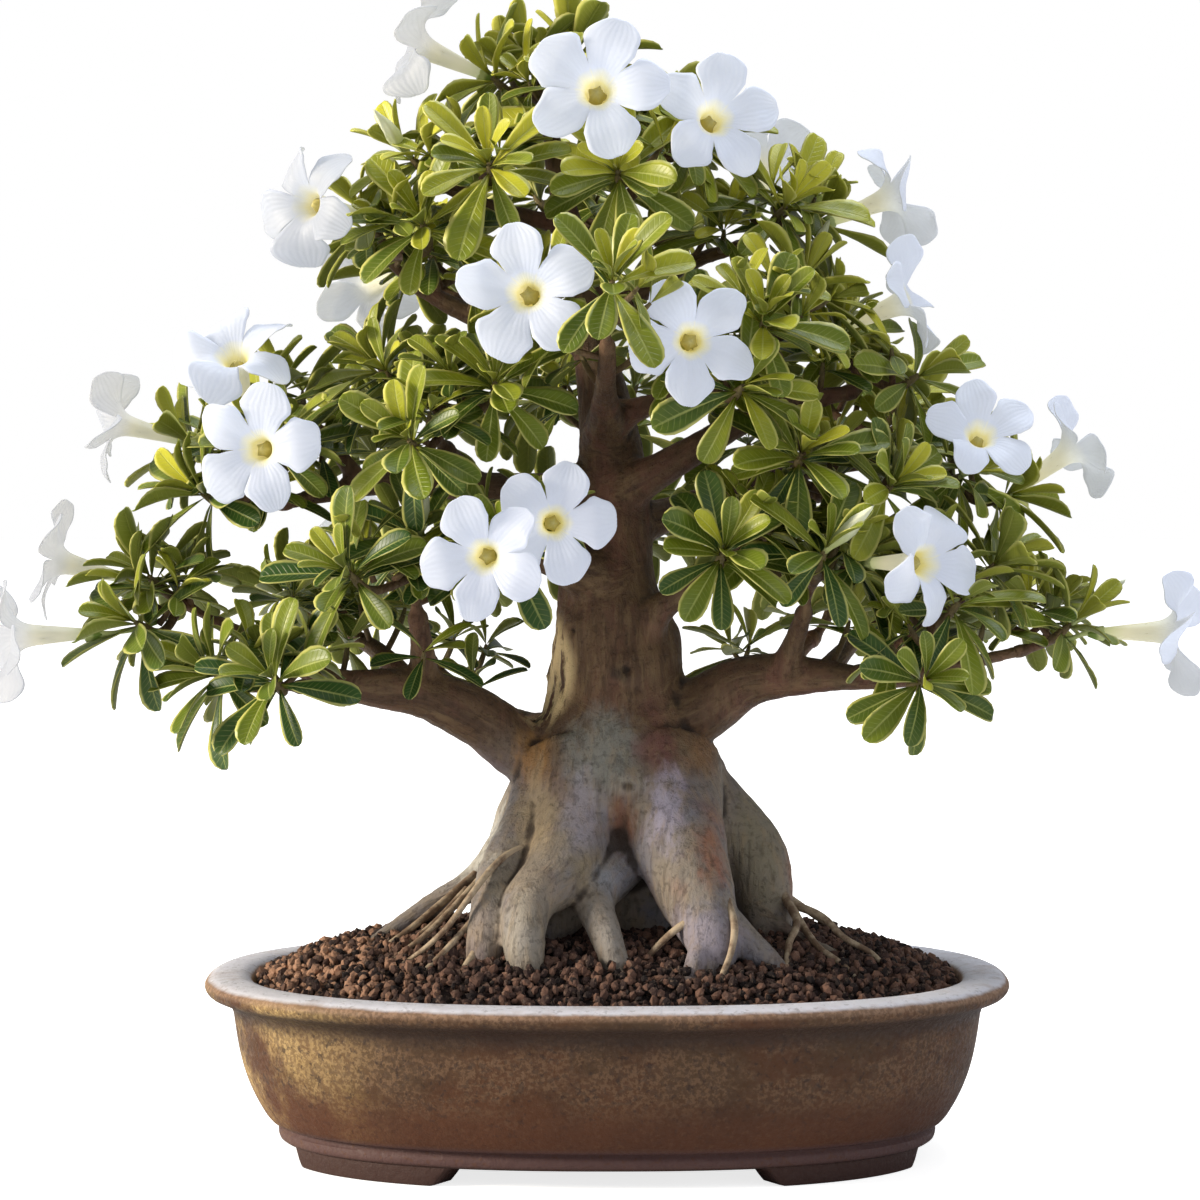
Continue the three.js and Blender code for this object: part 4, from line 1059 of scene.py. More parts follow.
def strewGranules(top):  # over the soil's upper face
    item = addObject("granules", top)
    faceOut(item.data)
    material = soilMaterial("granule", True)
    shapes = makeGranuleShapes(material)
    smallest, largest = soil["granuleSizes"]
    useTree(
        item, scatterTree, Shapes=shapes, Last=soil["granuleKinds"] - 1, Material=material,
        Density=float(soil["density"]), Smallest=smallest, Largest=largest, Lift=soil["lift"] * mm,
        Seed=soil["seed"],
    )
    madePlain(item)
    dropShapes(shapes)
    finishPiece(item, "soil")


def finishScreens():  # the drainage mesh keeps its solids
    material = mottledMaterial("screenPlastic", screenLook)
    for name in ("screen_left", "screen_right"):
        paint(frame["nodes"][name], material)


makePot()
makeSoil()
finishScreens()


# The plant's skeleton, each point as [x, y, z, radius], the same as in the solids.
trunkLine = [
    [12, 0, 98, 26], [12, 0, 130, 35], [11, 0, 156, 45], [8, 0, 180, 54], [5, 0, 202, 46],
    [5, 0, 226, 36], [4, 0, 254, 31.5], [1, 1, 282, 25], [4, 4, 320, 18.5], [1, 6, 360, 15],
    [-6, 6, 400, 11], [-15, 6, 446, 8], [-27, 4, 501, 5], [-29, 2, 519, 4],
]
rootLines = {
    "frontLeft": [
        [-12, -14, 190, 34], [-16, -36, 165, 23], [-24, -60, 145, 17], [-38, -78, 131, 12],
        [-40, -88, 112, 10], [-36, -93, 92, 6],
    ],
    "left": [
        [-22, -6, 188, 25], [-36, -26, 165, 17], [-52, -52, 142, 12], [-58, -72, 117, 10.5],
        [-62, -80, 88, 6],
    ],
    "farLeft": [
        [-20, 6, 192, 26], [-32, 10, 172, 19.5], [-47, 14, 152, 14], [-61, 12, 136, 10], [-92, 6, 119, 6.5],
        [-126, -6, 98, 4],
    ],
    "middle": [
        [10, -22, 168, 22], [5, -40, 147, 14.5], [-6, -60, 132, 11], [-1, -79, 118, 8.5], [9, -92, 91, 6],
    ],
    "under": [[0, -26, 150, 15], [-14, -40, 128, 10], [-27, -48, 114, 8], [-33, -52, 98, 6]],
    "frontRight": [
        [24, -14, 190, 35], [33, -42, 163, 25.5], [44, -68, 132, 18], [50, -84, 110, 12], [50, -86, 92, 8],
    ],
    "toeLeft": [[48, -82, 118, 8], [42, -95, 105, 6], [38, -99, 93, 4]],
    "toeRight": [[58, -72, 120, 10], [70, -78, 110, 7.5], [83, -84, 99, 5.5], [88, -86, 88, 4]],
    "right": [
        [26, 0, 190, 30], [50, -2, 168, 22.5], [70, -6, 150, 19.5], [78, -12, 130, 16],
        [81, -18, 113, 12], [82, -20, 96, 8],
    ],
    "thinRight": [[82, -26, 118, 4], [98, -40, 110, 3], [112, -48, 104, 2.6], [121, -54, 92, 2.2]],
    "backLeft": [
        [-16, 16, 188, 29], [-38, 44, 158, 20], [-50, 66, 132, 14], [-56, 80, 112, 10.5], [-58, 86, 96, 8],
    ],
    "backRight": [
        [26, 18, 188, 33], [48, 46, 158, 22], [56, 68, 134, 15], [62, 82, 113, 11], [64, 88, 96, 8],
    ],
    "back": [[4, 24, 182, 31], [4, 52, 154, 20], [0, 72, 132, 14], [6, 86, 112, 10], [10, 92, 96, 8]],
}
limbs = {
    "leftLow": {
        "path": [
            [0, -2, 206, 24], [-38, -7, 200, 17], [-64, -16, 218, 14.8], [-88, -26, 230, 12.4],
            [-137, -37, 238, 7], [-160, -34, 251, 4.8], [-192, -30, 266, 3.4],
        ],
        "tips": [[-222, -24, 284], [-224, -56, 264]],
    },
    "leftLowUp": {
        "path": [[-90, -25, 236, 9], [-91, -34, 254, 6.5], [-93, -40, 270, 5]],
        "tips": [[-90, -61, 304], [-120, -84, 288]],
    },
    "leftLowFront": {
        "path": [[-130, -36, 238, 5.6], [-142, -52, 236, 4.4], [-150, -61, 236, 3.6]],
        "tips": [[-156, -98, 238], [-184, -77, 240]],
    },
    "leftLowBack": {
        "path": [[-100, -24, 237, 7], [-116, 16, 250, 5], [-130, 38, 257, 4]],
        "tips": [[-160, 47, 272], [-136, 74, 272]],
    },
    "leftMid": {
        "path": [
            [0, 6, 334, 14], [-24, 7, 331, 10], [-62, 12, 332, 8], [-113, 12, 334, 6],
            [-140, 2, 329, 4.8], [-162, -10, 324, 3.6],
        ],
        "tips": [[-194, -28, 326], [-203, 2, 350], [-160, -34, 346]],
    },
    "leftMidFront": {
        "path": [[-66, 13, 333, 7], [-74, -7, 344, 5.4], [-80, -24, 352, 4.4]],
        "tips": [[-54, -77, 378], [-92, -84, 352], [-108, -30, 386]],
    },
    "leftMidUp": {
        "path": [[-122, 8, 333, 5.4], [-132, 5, 346, 4.4], [-140, 2, 358, 3.6]],
        "tips": [[-168, -2, 368]],
    },
    "leftMidBack": {
        "path": [[-78, 13, 335, 6.4], [-94, 42, 347, 5], [-104, 63, 354, 4]],
        "tips": [[-130, 86, 362], [-96, 94, 380]],
    },
    "leftTop": {
        "path": [
            [-8, 6, 408, 10], [-43, 3, 411, 6.5], [-72, 1, 420, 5.2], [-94, -2, 432, 4],
        ],
        "tips": [[-116, -10, 462], [-88, -52, 456]],
    },
    "leftTopBack": {
        "path": [[-56, 2, 414, 5.4], [-68, 27, 422, 4.2], [-76, 44, 428, 3.6]],
        "tips": [[-100, 53, 440], [-70, 73, 450]],
    },
    "topLeft": {
        "path": [[-17, 6, 462, 7], [-36, -2, 466, 5], [-64, -16, 473, 3.6]],
        "tips": [[-92, -28, 490], [-56, -64, 484]],
    },
    "topRight": {
        "path": [[-13, 6, 438, 8], [-4, 0, 460, 5.4], [22, -8, 488, 3.8]],
        "tips": [[6, -56, 482], [40, -17, 500], [20, 19, 508]],
    },
    "rightUpper": {
        "path": [[-9, 7, 416, 9], [16, 9, 430, 6], [42, 9, 445, 4.8], [68, 5, 453, 3.6]],
        "tips": [[84, -24, 466], [100, 11, 462]],
    },
    "rightMidHigh": {
        "path": [
            [8, 0, 330, 13], [22, -10, 338, 9.5], [43, -20, 351, 8], [70, -25, 367, 7], [122, -14, 380, 4],
        ],
        "tips": [[114, -7, 404], [148, -24, 384]],
    },
    "rightMidFront": {
        "path": [[84, -25, 373, 5.6], [84, -40, 386, 4.6], [82, -52, 396, 3.8]],
        "tips": [[74, -82, 408], [92, -37, 426]],
    },
    "frontRight": {
        "path": [[3, -2, 366, 10], [18, -17, 372, 6.4], [44, -40, 378, 4.2]],
        "tips": [[40, -61, 400], [62, -84, 378]],
    },
    "rightMid": {
        "path": [[8, 9, 310, 13], [40, 22, 322, 8], [80, 32, 337, 6.4], [142, 21, 346, 4]],
        "tips": [[172, -7, 336], [196, 13, 326]],
    },
    "rightMidBack": {
        "path": [[98, 32, 342, 5.4], [116, 51, 350, 4.4], [126, 65, 354, 3.8]],
        "tips": [[150, 87, 362], [116, 94, 378]],
    },
    "rightMidLow": {
        "path": [[84, 32, 338, 6], [98, 12, 332, 4.8], [106, 0, 328, 4]],
        "tips": [[134, -56, 330], [92, -67, 344]],
    },
    "rightLow": {
        "path": [
            [12, -2, 210, 23], [46, -6, 221, 17], [70, -10, 236.5, 13.2], [97, -16, 239, 9.4],
            [150, -14, 238.5, 5.8], [177, -8, 244, 4.2], [209, -1, 251, 3.2],
        ],
        "tips": [[226, -10, 260], [206, 31, 268]],
    },
    "rightLowTrunk": {
        "path": [[12, -12, 256, 14], [26, -20, 272, 8], [54, -36, 292, 4.8]],
        "tips": [[54, -82, 298], [76, -52, 308]],
    },
    "rightLowUp": {
        "path": [[88, -16, 242, 8], [94, -28, 260, 5.4], [97, -37, 272, 4.4]],
        "tips": [[102, -86, 298], [120, -44, 294]],
    },
    "rightLowFront": {
        "path": [[126, -17, 239, 6], [138, -30, 248, 4.8], [146, -40, 256, 4]],
        "tips": [[166, -64, 272], [186, -37, 290], [148, -84, 238]],
    },
    "rightLowBack": {
        "path": [[108, -16, 240, 7], [122, 21, 251, 5], [132, 42, 258, 4]],
        "tips": [[162, 56, 272], [142, 84, 274]],
    },
    "backLeftLow": {
        "path": [
            [-6, 12, 208, 20], [-42, 53, 206, 11], [-72, 86, 221, 7.5], [-88, 106, 231, 5.6],
            [-99, 118, 248, 4.6],
        ],
        "tips": [[-112, 127, 284], [-78, 138, 288]],
    },
    "backRightLow": {
        "path": [[14, 12, 212, 20], [52, 56, 220, 11], [90, 94, 236, 6.4], [110, 118, 252, 4.6]],
        "tips": [[126, 126, 286], [90, 140, 290]],
    },
    "backMid": {
        "path": [[2, 12, 330, 13], [-2, 47, 348, 7.5], [-6, 80, 360, 5.4], [-8, 100, 367, 4]],
        "tips": [[-36, 122, 378], [14, 129, 382]],
    },
    "backLow": {
        "path": [[4, 17, 262, 16], [6, 60, 280, 8], [6, 95, 292, 5.6], [4, 118, 298, 4.2]],
        "tips": [[-26, 147, 308], [26, 151, 312]],
    },
    "backTop": {
        "path": [[-14, 7, 440, 7], [-12, 36, 456, 5], [-10, 56, 463, 3.8]],
        "tips": [[-34, 74, 478], [38, 60, 462]],
    },
    "frontMid": {
        "path": [[0, 0, 360, 13], [-1, -52, 379, 6], [0, -84, 394, 4.6], [0, -98, 401, 4]],
        "tips": [[2, -142, 424], [-28, -74, 418]],
    },
    "frontLeft": {
        "path": [[-8, -14, 290, 14], [-24, -34, 294, 7], [-33, -44, 296, 5]],
        "tips": [[-46, -68, 302]],
    },
}
crownTips = [[-52, -7, 531], [-18, 12, 542], [-12, -37, 512]]
blooms = [  # limb, tip, foot of the flower, its way, its roll in degrees and its size
    ["crown", 0, [-59, -6, 536], [-0.87, -0.15, 0.38], 10, 1],
    ["crown", 2, [-5, -52, 515], [0, -0.97, 0.16], 0, 1.08],
    ["topRight", 1, [40, -29, 502], [0.3, -0.92, 0.22], 26, 1],
    ["leftTop", 0, [-122, -14, 468], [-0.62, -0.76, 0.08], 8, 1],
    ["rightUpper", 1, [109, 6, 464], [0.88, 0.1, 0.36], 50, 0.95],
    ["rightMidHigh", 0, [114, -14, 411], [0.86, -0.22, 0.34], 20, 0.98],
    ["frontMid", 1, [-33, -82, 421], [-0.12, -0.98, 0.08], 20, 1.04],
    ["frontRight", 0, [36, -71, 401], [0.1, -0.98, 0.04], 52, 0.98],
    ["leftMidUp", 0, [-178, -10, 369], [-0.12, -0.68, 0.72], 30, 1.02],
    ["leftMid", 1, [-210, 0, 355], [-0.95, -0.1, 0.26], 40, 0.92],
    ["leftMid", 2, [-158, -46, 350], [-0.24, -0.96, 0.04], 62, 0.98],
    ["leftLow", 0, [-237, -20, 287], [-0.96, 0.12, 0.24], 15, 0.96],
    ["leftLow", 1, [-248, -64, 262], [-0.97, -0.2, -0.02], 48, 0.98],
    ["frontLeft", 0, [-53, -94, 301], [-0.12, -0.99, 0], 38, 0.94],
    ["frontLeft", 0, [-29, -71, 315], [0.1, -0.99, 0.04], 5, 0.92],
    ["rightMid", 0, [177, -14, 340], [0.16, -0.82, 0.52], 34, 0.9],
    ["rightMid", 1, [206, 16, 330], [0.78, 0.12, 0.58], 12, 0.94],
    ["rightLowUp", 1, [126, -56, 296], [0.68, -0.72, 0.02], 30, 1],
    ["rightLow", 0, [242, -14, 260], [0.98, -0.06, 0.02], 56, 1],
    ["rightUpper", 1, [78, 38, 475], [0.1, 0.7, 0.7], 20, 0.9],
    ["leftTopBack", 0, [-105, 60, 441], [-0.5, 0.8, -0.14], 45, 0.92],
    ["backMid", 1, [16, 135, 388], [0.1, 0.95, 0.24], 12, 1],
    ["backLeftLow", 0, [-118, 134, 288], [-0.45, 0.85, 0.22], 30, 1],
]
budsAt = [  # limb, tip and lean
    ["rightMidFront", 1, 0.2], ["rightLowUp", 0, 0.45], ["rightLow", 0, 0.5], ["leftLowUp", 0, 0.4],
    ["backTop", 1, 0.3], ["backRightLow", 0, 0.4], ["topLeft", 0, 0.4],
]
thinRoots = [  # fine roots in the air and over the soil
    [
        [-34, -46, 160, 1.8], [-50, -58, 153, 1.8], [-58, -68, 146, 1.7], [-66, -76, 136, 1.6],
        [-78, -76, 120, 1.5], [-92, -72, 107, 1.3], [-104, -68, 99, 1.1],
    ],
    [
        [-66, 4, 138, 2.2], [-84, -14, 124, 2], [-100, -26, 112, 1.7], [-118, -36, 101, 1.4],
        [-134, -44, 95, 1.1],
    ],
    [
        [-62, -30, 140, 1.9], [-78, -44, 124, 1.7], [-94, -54, 110, 1.5], [-112, -60, 99, 1.2],
        [-124, -62, 94, 1],
    ],
    [[-58, -62, 132, 1.8], [-70, -72, 118, 1.6], [-82, -80, 106, 1.4], [-92, -86, 97, 1.1]],
    [[-70, -10, 132, 1.8], [-88, -30, 115, 1.6], [-108, -44, 102, 1.4], [-130, -50, 95, 1.1]],
    [[-62, -78, 112, 2], [-70, -90, 100, 1.6], [-74, -98, 93, 1.2]],
    [[44, -84, 127, 2], [35, -84, 122, 1.9], [26, -82, 114, 1.7], [18, -80, 105, 1.4]],
    [[58, -78, 134, 2], [61, -91, 121, 1.9], [59, -97, 111, 1.6], [54, -100, 99, 1.3]],
    [[88, -22, 130, 2.4], [93, -46, 119, 1.9], [88, -68, 111, 1.7], [86, -80, 101, 1.3]],
    [
        [90, -24, 127, 2.1], [99, -44, 113, 1.8], [104, -58, 108, 1.6], [115, -70, 101, 1.4],
        [122, -76, 94, 1.1],
    ],
    [
        [90, -18, 126, 2.3], [107, -32, 120, 1.9], [117, -41, 111, 1.6], [130, -46, 104, 1.4],
        [139, -50, 95, 1.1],
    ],
    [[80, 20, 132, 2.4], [100, 32, 118, 1.9], [114, 42, 107, 1.6], [124, 50, 96, 1.2]],
    [[-62, 58, 130, 2.4], [-80, 60, 118, 2], [-94, 58, 108, 1.6], [-106, 62, 97, 1.2]],
    [[20, 84, 122, 2.2], [30, 94, 111, 1.9], [34, 104, 101, 1.6], [38, 112, 93, 1.2]],
]


# Trunk, roots and limbs are one body.
wood = {
    "step": 4.0,  # between the rings of a tube
    "sides": 26,
    "voxel": 1.9,
    "smoothing": 9,
    "lumps": 1.5,
    "ridges": 0.75,
    "wrinkles": 0.42,
    "slimLimit": 9.0,  # thinner wood has shallower relief
    "blend": 8,  # rounds that soften the joins of the grain where roots and limbs meet
    # [x, y, z, reach, height] of knots and old scars
    "knots": [
        [10, -46, 188, 9, 3.2], [10, -33, 243, 7, 2.6], [-17, -22, 262, 8, 2.2], [24, -18, 300, 8, 2.4],
        [38, 6, 262, 9, 2.6], [-30, 8, 236, 8, 2.2], [0, 34, 236, 10, 2.8], [-14, 24, 290, 8, 2.2],
    ],
    "peelAt": [-30, -8, 240],
    "peelReach": [16, 26, 27],
    "peelDepth": 1.3,
}


def edgeObject(name, paths):  # bare edges with their radius, for the tube tree
    verts, edges, thick = [], [], []
    for path in paths:
        start = len(verts)
        verts += [point[:3] * mm for point in path]
        thick += [point[3] * mm for point in path]
        edges += [(start + k, start + k + 1) for k in range(len(path) - 1)]
    mesh = meshOf(name, verts, [], edges)
    setValues(mesh, "thick", thick)
    return addObject(name, mesh)


def woodPaths():
    lines = [trunkLine, *rootLines.values(), *(limb["path"] for limb in limbs.values())]
    return [smoothPath(line, wood["step"]) for line in lines]


def flowTable(paths):  # for each point of the paths: its place, two square directions and the length so far
    places, sides, others, lengths, radii, levels = [], [], [], [], [], []
    for path in paths:
        ways = np.gradient(path[:, :3], axis=0)
        ways /= np.linalg.norm(ways, axis=1)[:, None]
        side = np.array([1.0, 0, 0]) if abs(ways[0][1]) > 0.8 else np.array([0, 1.0, 0])
        run = 0.0
        for k, way in enumerate(ways):
            side = side - way * side.dot(way)
            side /= np.linalg.norm(side)
            run += np.linalg.norm(path[k, :3] - path[k - 1, :3]) if k else 0
            places.append(path[k, :3])
            sides.append(side)
            others.append(np.cross(way, side))
            lengths.append(run)
            radii.append(path[k, 3])
            levels.append(smoothStep((0.75 - abs(way[2])) / 0.35))
    return [np.array(a) for a in (places, sides, others, lengths, radii, levels)]


def neighbourMean(points, edges, rounds):  # a smoothed copy of the points
    a, b = edges[:, 0], edges[:, 1]
    count = np.bincount(a, minlength=len(points)) + np.bincount(b, minlength=len(points))
    count = np.maximum(count, 1)[:, None]
    for _ in range(rounds):
        total = np.zeros_like(points)
        np.add.at(total, a, points[b])
        np.add.at(total, b, points[a])
        points = total / count
    return points


def vertexArrays(mesh):
    count = len(mesh.vertices)
    points, normals = np.zeros(count * 3), np.zeros(count * 3)
    mesh.vertices.foreach_get("co", points)
    mesh.vertices.foreach_get("normal", normals)
    edges = np.zeros(len(mesh.edges) * 2, int)
    mesh.edges.foreach_get("vertices", edges)
    return points.reshape(-1, 3), normals.reshape(-1, 3), edges.reshape(-1, 2)


def carveBark(mesh, paths):
    points, normals, edges = vertexArrays(mesh)
    places, sides, others, lengths, radii, levels = flowTable(paths)
    tree = searchTree(places)
    here = points / mm
    near = np.array([tree.find(p)[1] for p in here])
    off = here - places[near]
    along = lengths[near] + (off * np.cross(sides[near], others[near])).sum(1)
    flow = np.stack([(off * sides[near]).sum(1), (off * others[near]).sum(1), along], 1)
    flow = neighbourMean(flow, edges, wood["blend"])
    level = neighbourMean(levels[near][:, None], edges, wood["blend"])[:, 0]
    slim = np.clip(radii[near] / wood["slimLimit"], 0.25, 1)
    peel = np.exp(-((((here - wood["peelAt"]) / wood["peelReach"]) ** 2).sum(1)))
    relief = np.zeros(len(here))
    for k, (p, f, lying) in enumerate(zip(here, flow, level)):
        ridges, wrinkles = [], []
        for x, y, z in (p, f):
            ridges.append(noise.noise(Vector((x / 8, y / 8, z / 46))))
            wrinkles.append(noise.noise(Vector((x / 30, y / 30, z / 4.6))))
        relief[k] = wood["lumps"] * noise.noise(Vector(p / 34))
        relief[k] += wood["ridges"] * (ridges[0] + (ridges[1] - ridges[0]) * lying)
        relief[k] += wood["wrinkles"] * (wrinkles[0] + (wrinkles[1] - wrinkles[0]) * lying)
        if peel[k] > 0.1:
            strip = noise.noise(Vector((p[0] / 2.6, p[1] / 2.6, p[2] / 10)))
            relief[k] += wood["peelDepth"] * min(1, 1.6 * peel[k]) * strip
    relief *= slim
    for x, y, z, reach, height in wood["knots"]:
        away = np.linalg.norm(here - np.array([x, y, z]), axis=1) / reach
        relief += height * np.exp(-(away**2)) - 1.5 * height * np.exp(-((away / 0.34) ** 2))
    moved = points + normals * relief[:, None] * mm
    mesh.vertices.foreach_set("co", moved.ravel())
    mesh.update()
    points, normals, edges = vertexArrays(mesh)
    # how deep each point lies in a hollow, for the painted shade there
    sunk = ((neighbourMean(points, edges, 10) - points) * normals).sum(1) / mm
    setValues(mesh, "level", level)
    setValues(mesh, "flow", flow * mm, "FLOAT_VECTOR")
    setValues(mesh, "hollow", np.clip(sunk / 1.1, 0, 1))
    setValues(mesh, "peel", np.clip(peel * 1.4, 0, 1))


def makeTrunk(material):
    paths = woodPaths()
    item = edgeObject("trunkBody", paths)
    useTree(item, tubeTree, Sides=wood["sides"], Material=material)
    remesh = item.modifiers.new("skin", "REMESH")
    remesh.mode = "VOXEL"
    remesh.voxel_size = wood["voxel"] * mm
    smooth = item.modifiers.new("soften", "SMOOTH")
    smooth.factor = 0.5
    smooth.iterations = wood["smoothing"]
    madePlain(item)
    carveBark(item.data, paths)
    shadeSmooth(item.data)
    paint(item, material)
    finishPiece(item, "bark", "trunk")


def makeThinRoots():
    item = edgeObject("thinRoots", [smoothPath(line, 2.5) for line in thinRoots])
    useTree(item, tubeTree, Sides=10, Material=mottledMaterial("thinRoot", thinRootLook))
    madePlain(item)
    finishPiece(item, "bark")


bark = barkMaterial()
makeTrunk(bark)
makeThinRoots()


seat = 0.3  # gap between a limb's end and its spray, as in the solids
shootForm = {"whorl": 3, "radius": 2.3, "step": 2.4}
twig = {"start": 0.9, "bend": 0.3, "pull": 0.35, "fork": 0.25, "stalkAt": 0.55, "sunk": 5, "step": 2.5}
stalk = {"radius": 1.35, "straight": 4, "atFlower": 2.2}
outward = {"fromSeat": 0.7, "fromMiddle": 0.45, "upward": 0.65}
leafForm = {
    "length": 45,
    "width": 18.5,
    "slender": 0.84,  # the living leaves are this much slimmer than the solid ones
    "lean": (0.95, 0.38),
    "upperSize": 0.88,
    "droop": (0.3, 0.6),
    "vary": {"turn": 16, "lean": 0.3, "size": 0.26, "width": 0.2},
    "swings": (0, 18, -18, 32, -32),
    "match": 0.12,  # how near a solid leaf's tip has to be
    "rows": 8,
    "columns": 6,
    "fold": 0.3,
    "thickness": 0.9,
    "droopKinds": 5,
    "looks": 3,  # shapes for each droop
}
# Leaves that only this script has. A ring holds their count, lean as a share of a right angle, size,
# height up the shoot, shift round it and shade. The pairs are a least value and what chance adds.
extraLeafRings = {
    "shoots": {
        "seed": 40, "turn": 0.35, "lean": 0.36, "size": (0.84, 0.3), "width": (0.86, 0.24),
        "rings": [(5, 1.12, 0.86, 0.2, 0.3, 2), (4, 0.66, 0.92, 1.7, 0.5, 3), (4, 0.22, 0.64, 3.4, 0.1, 4)],
    },
    "sides": {
        "seed": 70, "turn": 0.4, "lean": 0.4, "size": (0.82, 0.36), "width": (0.95, 0),
        "rings": [(4, 0.92, 0.72, 0.4, 0, 2), (4, 0.42, 0.6, 1.9, 0.5, 4)],
    },
}
clearance = {
    "wood": 3.0,  # room that leaves keep from the wood
    "soil": 125,  # height below which no leaf goes
    "blossom": 2.5,
    "view": 21,  # radius kept free in front of a throat
}
sideShoots = {
    "along": (0.42, 0.74),  # where on a twig they start
    "onLimb": (0.5, 0.68, 0.86),  # and on a limb
    "limbLength": 70,  # shorter limbs have none
    "limbReach": 1.25,  # how much longer they are on a limb
    "length": 12,
    "radius": 1.4,
}


def makeSprays():
    sprays = []
    number = 0
    ends = {name: (limb["path"][-2:], limb["tips"]) for name, limb in limbs.items()}
    ends["crown"] = (trunkLine[-2:], crownTips)
    for name, (end, tips) in ends.items():
        before, last = np.array(end[0], float), np.array(end[1], float)
        spray = {"name": name, "seat": last[:3], "radius": last[3], "way": unit(last[:3] - before[:3])}
        spray["shoots"] = []
        for tip in tips:
            foot = np.array(tip, float)
            axis = outward["fromSeat"] * unit(foot - spray["seat"])
            axis += outward["fromMiddle"] * unit(foot * [1, 1, 0])
            axis[2] += outward["upward"]
            spray["shoots"].append({"foot": foot, "axis": unit(axis), "number": number})
            number += 1
        sprays.append(spray)
    return sprays


def twigPath(spray, order):  # the same points as the solid twig's
    shoot = spray["shoots"][order]
    end = [*(shoot["foot"] - shoot["axis"] * shootForm["step"]), shootForm["radius"]]
    start = spray["seat"] + spray["way"] * seat
    thick = spray["radius"] * twig["start"]
    first = spray["shoots"][0]["foot"]
    knee = start + spray["way"] * np.linalg.norm(first - start) * twig["bend"]
    knee = knee + (first - knee) * twig["pull"]
    if order == 0:
        return [[*start, thick], [*knee, (thick + shootForm["radius"]) / 2], end]
    fork = knee + (first - knee) * twig["fork"] * (order - 1)
    return [[*fork, shootForm["radius"]], end]


def shootFrame(shoot):
    axis = shoot["axis"]
    side = Vector(unit(np.array([0, 0, 1.0]) - axis * axis[2]))
    side.rotate(Quaternion(Vector(axis), chance(shoot["number"], 7, 7) * math.pi))
    side = np.array(side)
    return side, np.cross(axis, side)


def leafAt(shoot, turn, lean, size, widthRatio, droop, rise):
    side, other = shootFrame(shoot)
    axis = shoot["axis"]
    out = side * math.cos(turn) + other * math.sin(turn)
    return {
        "foot": shoot["foot"] + axis * shootForm["step"] * rise,
        "way": axis * math.cos(lean) + out * math.sin(lean),
        "up": axis * math.sin(lean) - out * math.cos(lean),
        "size": size, "widthRatio": widthRatio, "droop": droop,
    }


def solidLeaf(shoot, place, swing):  # the leaf that the solids have at this place, if it was swung so
    number = shoot["number"]
    whorl = place // shootForm["whorl"]
    vary, droop = leafForm["vary"], leafForm["droop"]

    def jitter(c):
        return chance(number, place, c) - 0.5

    turn = (place + (0.5 if whorl else 0)) / shootForm["whorl"] * 2 * math.pi
    turn += math.radians(swing + vary["turn"] * jitter(5))
    lean = leafForm["lean"][whorl] * math.pi / 2 + vary["lean"] * jitter(1)
    size = (leafForm["upperSize"] if whorl else 1) + vary["size"] * jitter(2)
    bend = droop[0] + (droop[1] - droop[0]) * chance(number, place, 4)
    return leafAt(shoot, turn, lean, size, 1 + vary["width"] * jitter(3), bend, whorl + 1)


def leafPoint(leaf, t):
    bend, length = leaf["droop"] * t, leafForm["length"] * leaf["size"]
    reach = math.sin(bend) / leaf["droop"] * length
    fall = (1 - math.cos(bend)) / leaf["droop"] * length
    return leaf["foot"] + leaf["way"] * reach - leaf["up"] * fall


def blossomPlace(row):
    limb, tip, foot, way, roll, size = row
    return {
        "limb": limb, "tip": tip, "foot": np.array(foot, float), "way": unit(np.array(way, float)),
        "roll": math.radians(roll), "size": size,
    }


def nearBlossom(point, blossom, room):  # true in or near a blossom's lobes or tube
    off = (point - blossom["foot"]) / blossom["size"]
    height = off.dot(blossom["way"])
    radius = math.sqrt(max(0, off.dot(off) - height**2))
    if height < -room or height > 46 + room:
        return False
    return radius < room + (31 if height > 33 else 3 + 8 * (height / 38) ** 2)


def findSolidLeaves(sprays):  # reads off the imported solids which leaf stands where
    found = {}
    for spray in sprays:
        tree = searchTree([v.co / mm for v in frame["nodes"]["spray_" + spray["name"]].data.vertices])
        for shoot in spray["shoots"]:
            for place in range(2 * shootForm["whorl"]):
                for swing in leafForm["swings"]:
                    leaf = solidLeaf(shoot, place, swing)
                    if tree.find(leafPoint(leaf, 1))[2] < leafForm["match"]:
                        leaf["ring"] = place // shootForm["whorl"]
                        found.setdefault(spray["name"], []).append(leaf)
                        break
    return found


def hidesBlossom(point, blossom):  # true in front of the throat of a blossom that faces the viewer
    if blossom["way"][1] > -0.6:
        return False
    mouth = blossom["foot"] + blossom["way"] * 38 * blossom["size"]
    aside = math.hypot(point[0] - mouth[0], point[2] - mouth[2])
    return point[1] < mouth[1] + 4 and aside < clearance["view"]


def fits(leaf, blossoms, woodTree, woodRadii):  # a leaf keeps clear of blossoms, wood and soil
    for t in (0.4, 0.6, 0.8, 1):
        p = leafPoint(leaf, t)
        if p[2] < clearance["soil"]:
            return False
        if any(nearBlossom(p, b, clearance["blossom"]) or hidesBlossom(p, b) for b in blossoms):
            return False
        place, k, away = woodTree.find(p)
        if away < woodRadii[k] + clearance["wood"]:
            return False
    return True


